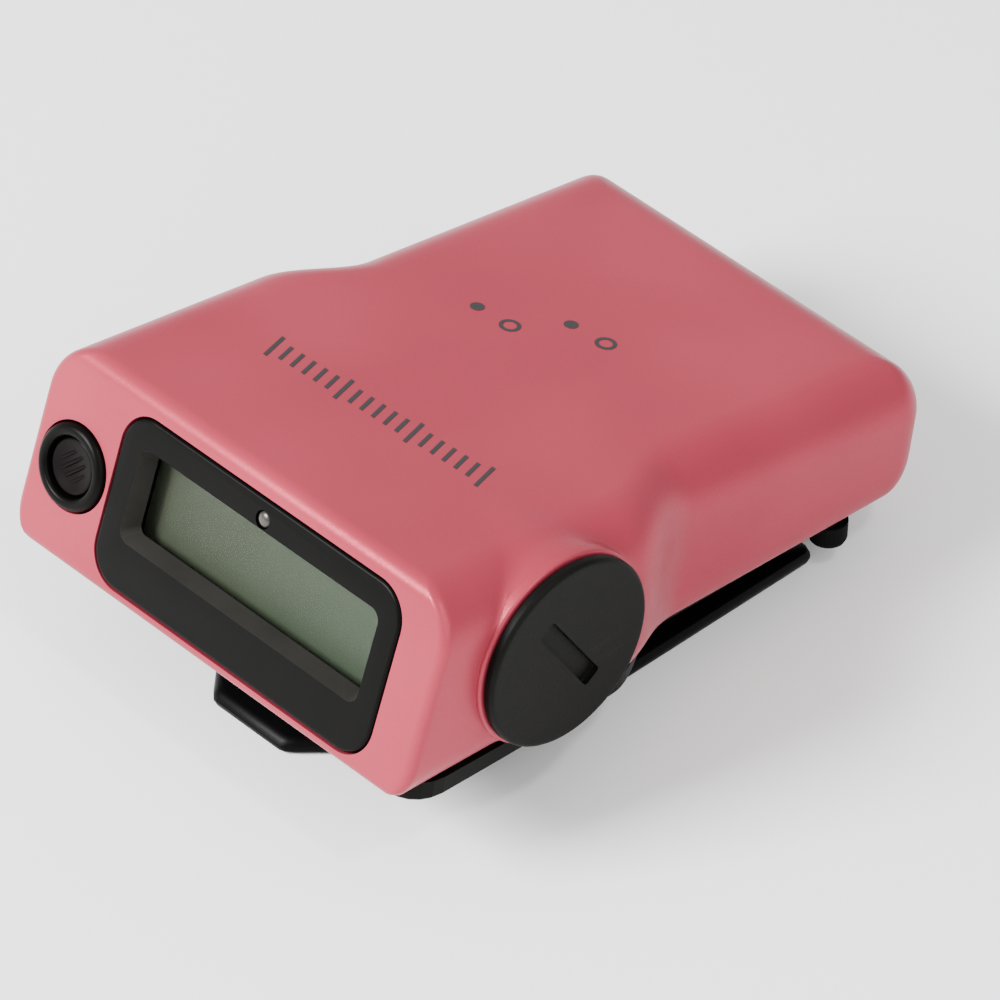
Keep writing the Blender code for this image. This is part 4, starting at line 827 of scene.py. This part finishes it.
make_piece("cap_thread", helix(SKIRT_RADIUS - 0.02, CAP_SEAT - 5.5), CAP, grained_black, "cap")
print("thread:", THREAD_PITCH * THREAD_TURNS, "mm long")

# %% [markdown]
# ## Belt clip
# The clip is one stiff plate with a tapered thumb tab, two ears for the pin and an upturned lip
# that meets the case. The plate is skinned from outlines. Its front edge, which the thumb pushes
# on, gets a wider bevel than the rest.

# %% Clip plate
CLIP_FRONT, CLIP_LENGTH, CLIP_HALF, CLIP_THICK = -28.3, 69.6, 24.4, 2.0
CLIP_REAR = CLIP_FRONT + CLIP_LENGTH
CLIP_LOW = -5.0
CLIP_HIGH = CLIP_LOW + CLIP_THICK
TAB_HALF, TAPER_END = 6.55, CLIP_FRONT + 19.3
CLIP_PLAN = [
    (TAB_HALF - 1.2, CLIP_FRONT), (TAB_HALF - 0.3, CLIP_FRONT + 0.25),
    (TAB_HALF + 0.5, CLIP_FRONT + 0.95), (CLIP_HALF - 1.2, TAPER_END - 1.3),
    (CLIP_HALF - 0.3, TAPER_END - 0.2), (CLIP_HALF, TAPER_END + 1.2),
    (CLIP_HALF, CLIP_REAR - 1.1), (CLIP_HALF - 0.3, CLIP_REAR - 0.35),
    (CLIP_HALF - 1.1, CLIP_REAR)]


def clip_outline(inset, front_inset):
    """Plan of the clip plate, drawn in by one width at its front edge and another elsewhere."""
    middle = CLIP_FRONT + CLIP_LENGTH / 2
    right = []
    for x, y in CLIP_PLAN:
        pull = front_inset if y < CLIP_FRONT + 1.0 else inset
        right.append((x - inset, y + pull if y < middle else y - inset))
    return right + [(-x, y) for x, y in reversed(right)]


steps = [(0.5, 0.6, CLIP_LOW), (0.15, 0.2, CLIP_LOW + 0.15), (0, 0, CLIP_LOW + 0.5),
         (0, 0, CLIP_HIGH - 1.1), (0.06, 0.3, CLIP_HIGH - 0.6), (0.2, 0.75, CLIP_HIGH - 0.2),
         (0.5, 1.3, CLIP_HIGH)]
plate = [[(x, y, z) for x, y in clip_outline(i, f)] for i, f, z in steps]
clip = make_piece("clip_body", loft(plate), PIVOT, clip_black, "clip",
                  ("clip_plate",), 25)
print("clip plate:", CLIP_LENGTH, "mm long")

# %% [markdown]
# ## Ears, lip and pin hole
# The ears and the lip are joined to the plate by Booleans, so that one bevel can soften all of it.
# The lip's height follows from how far the pin lies below the base and from the slope of the base,
# so that it ends just short of the case.

# %% Ears, lip and pin hole
CLIP_SHARP = 30
EAR_RADIUS, EAR_FOOT, EAR_FACES = 2.5, 3.75, (11.6, 13.8)
PIN_RADIUS = 1.05
LIP_HALF, LIP_GAP, LIP_BACK = 19, 0.3, 2.2
PIN_DROP = 4.0
BASE_TAPER = 1.3
BASE_ANGLE = CASE_TILT - math.atan(WEDGE + BASE_TAPER / LENGTH)
SUNK = CLIP_LOW + 0.4
lip_rise = PIN_DROP - LIP_GAP - math.tan(BASE_ANGLE) * (CLIP_REAR - LIP_BACK)
ear = arc((0, 0), EAR_RADIUS, 0, 180, 20) + [(-EAR_FOOT, SUNK), (EAR_FOOT, SUNK)]
for sign in (-1, 1):
    sides = [[(sign * x, y, z) for y, z in ear] for x in EAR_FACES]
    carve(clip, loft(sides), PIVOT, "UNION", CLIP_SHARP)
lip = []
for inset, e in ((1.8, 0.3), (1.6, 0.0), (0.2, 0.0), (0.0, 0.3)):
    x, y = LIP_HALF - e, CLIP_REAR - 0.35 - inset
    lip.append([(-x, y, SUNK), (x, y, SUNK), (x, y, lip_rise - e), (-x, y, lip_rise - e)])
carve(clip, loft(lip), PIVOT, "UNION", CLIP_SHARP)
carve(clip, turned(rod(PIN_RADIUS, -30, 30), 48), PIVOT @ ALONG_X, "DIFFERENCE", CLIP_SHARP)
soften(clip, 0.12, 2)
print("clip faces:", len(clip.data.polygons))

# %% [markdown]
# ## Printed marks
# The real top carries a printed name and a few symbols. Generic marks of the same weight stand in
# for them: a scale of slanted bars, two dots and two small rings. Each is a very thin raised layer,
# so it keeps its edge at any distance and needs no image.

# %% Ink and printed layers
ink = Finish("printed_ink", (0.012, 0.011, 0.012), 0.45)
ink.set("Roughness", 0.4 + ink.noise(0.8) * 0.15)
ink.bump(ink.noise(0.3), 0.004)
INK_FOOT, INK_HEIGHT = -0.05, 0.04


def printed(outlines):
    """Thin prisms on the top face, from (x, y) outlines."""
    bm = bmesh.new()
    for outline in outlines:
        loft([[(x, y, z) for x, y in outline] for z in (INK_FOOT, INK_HEIGHT)], bm)
    return bm


print(f"ink stands {INK_HEIGHT} mm proud")

# %% [markdown]
# ## Scale, dots and rings
# The scale runs across the top at the slight angle of the real lettering, and every sixth bar is
# taller. A loop makes the bars from one pair of ends. The dots and rings are placed by their
# centres.

# %% Scale, dots and rings
SCALE_START, SCALE_END, SCALE_BARS = (17.4, 21.0), (-18.5, 19.1), 19
BAR_HALF, BAR_TALL, BAR_SHORT, BAR_SLANT = 0.3, 2.25, 1.5, 0.35
bars = []
for n in range(SCALE_BARS):
    t = (n + 0.5) / SCALE_BARS
    x = SCALE_START[0] + (SCALE_END[0] - SCALE_START[0]) * t
    y = SCALE_START[1] + (SCALE_END[1] - SCALE_START[1]) * t
    tall = BAR_TALL if n % 6 == 0 else BAR_SHORT
    corners = ((-BAR_HALF, -tall), (BAR_HALF, -tall), (BAR_HALF, tall), (-BAR_HALF, tall))
    bars.append([(x + dx - dy * BAR_SLANT, y + dy) for dx, dy in corners])
make_piece("print_scale", printed(bars), CASE, ink, "case")

DOT_RADIUS, DOTS = 0.9, ((-10.7, 45.7), (-1.6, 52.5))
make_piece("print_dots", printed([arc(centre, DOT_RADIUS, 0, 345, 23) for centre in DOTS]), CASE,
           ink, "case")

RING_INNER, RING_OUTER, RINGS = 0.85, 1.35, ((-5.5, 46.1), (3.7, 53.1))
rings = bmesh.new()
for x, y in RINGS:
    band = turned([(RING_INNER, INK_FOOT), (RING_OUTER, INK_FOOT), (RING_OUTER, INK_HEIGHT),
                   (RING_INNER, INK_HEIGHT)], 40)
    band.transform(Matrix.Translation((x, y, 0)))
    part = bpy.data.meshes.new("ring")
    band.to_mesh(part)
    band.free()
    rings.from_mesh(part)
    bpy.data.meshes.remove(part)
make_piece("print_rings", rings, CASE, ink, "case")
print("printed marks:", len(bars) + len(DOTS) + len(RINGS))

# %% [markdown]
# ## Finishes on the carried-over parts
# The rest of the parts keep their CAD shape. Each record slot is given one of the finishes above.

# %% Finishes by slot
by_slot = {
    "case_pink": paint, "satin_black": grained_black, "gloss_black": bezel_black,
    "rubber_black": soft_rubber, "case_inner": inner_grey, "clear": window_glass,
    "lens": lens_plastic, "lcd": crystal, "white": backlight_white, "board": board_green,
    "cell": cell_wrap, "grey_metal": steel, "dark_metal": dark_steel,
    "spring_metal": spring_steel, "ribbon": ribbon_amber,
}
replaced = {"top_case", "display_bezel", "display_window", "alarm_light_pipe", "button_ring",
            "push_button", "battery_cap", "clip_plate"}
for node, thing in frame["nodes"].items():
    if node not in replaced:
        slot_name = thing.material_slots[0].material.name.split(".")[0]
        thing.material_slots[0].material = by_slot[slot_name].material
print("carried-over parts:", len(frame["nodes"]) - len(replaced))

# %% [markdown]
# ## Floor
# The object stands on a plain pale floor: one flat slab, so wide that its edges are far outside any
# view. A very slow drift between two near-white greys keeps it from looking like a drawn plane.

# %% Floor
FLOOR_HALF, FLOOR_BOTTOM, FLOOR_TOP = 4000, -30, -0.05
floor_finish = Finish("studio_floor", (0.95, 0.95, 0.95), 0.9)
floor_finish.set("Base Color", floor_finish.mix(floor_finish.noise(300.0), (0.94, 0.94, 0.94, 1.0),
                                                (0.96, 0.96, 0.96, 1.0)))
slab = ((-FLOOR_HALF, -FLOOR_HALF), (FLOOR_HALF, -FLOOR_HALF), (FLOOR_HALF, FLOOR_HALF),
        (-FLOOR_HALF, FLOOR_HALF))
floor = make_piece("floor", loft([[(x, y, z) for x, y in slab] for z in (FLOOR_BOTTOM, FLOOR_TOP)]),
                   Matrix.Scale(MM, 4), floor_finish)
print("floor:", 2 * FLOOR_HALF / 1000, "m wide")

# %% [markdown]
# ## Lights
# A big soft key light stands high in front on the left; it makes the top and the front the bright
# sides and throws a soft shadow to the right. A large weak fill opens up the right side, a small
# light high on the right brightens the rounded edge there, and a white surround fills the rest.


# %% Lights
LIGHT_TARGET = (0, 0, 20)
LIGHTS = {"key": ((-330, -760, 640), 420, 30), "fill": ((800, -100, 500), 700, 4),
          "glint": ((500, 0, 880), 90, 2.2)}


def aim(thing, place, target, roll=0.0):
    """Turns an object's -Z axis from a place towards a target, in millimetres."""
    thing.location = Vector(place) * MM
    look = (Vector(target) - Vector(place)).to_track_quat("-Z", "Y")
    thing.rotation_mode = "QUATERNION"
    thing.rotation_quaternion = look @ Matrix.Rotation(roll, 3, "Z").to_quaternion()


for name, (place, size, watts) in LIGHTS.items():
    lamp = bpy.data.lights.new(name, "AREA")
    lamp.size = size * MM
    lamp.energy = watts
    light = bpy.data.objects.new(name, lamp)
    bpy.context.scene.collection.objects.link(light)
    aim(light, place, LIGHT_TARGET)
world = bpy.data.worlds.new("studio")
bpy.context.scene.world = world
world.use_nodes = True
world.node_tree.nodes["Background"].inputs["Color"].default_value = (1, 1, 1, 1)
world.node_tree.nodes["Background"].inputs["Strength"].default_value = 1.0
print("lights:", len(LIGHTS))

# %% [markdown]
# ## Camera
# A long lens from well back keeps the edges of a small object nearly parallel. The camera looks
# down on the front right corner, and a slight roll levels the object.

# %% Camera
CAMERA_PLACE = (545.37, -505.29, 645.92)
CAMERA_TARGET = (27.40, -19.66, 43.32)
CAMERA_ROLL = -0.34
camera_data = bpy.data.cameras.new("camera")
camera_data.sensor_width = 36
camera_data.lens = 296.5
camera = bpy.data.objects.new("camera", camera_data)
bpy.context.scene.collection.objects.link(camera)
bpy.context.scene.camera = camera
aim(camera, CAMERA_PLACE, CAMERA_TARGET, math.radians(CAMERA_ROLL))
distance = (Vector(CAMERA_PLACE) - Vector(CAMERA_TARGET)).length
print("camera distance:", round(distance), "mm")
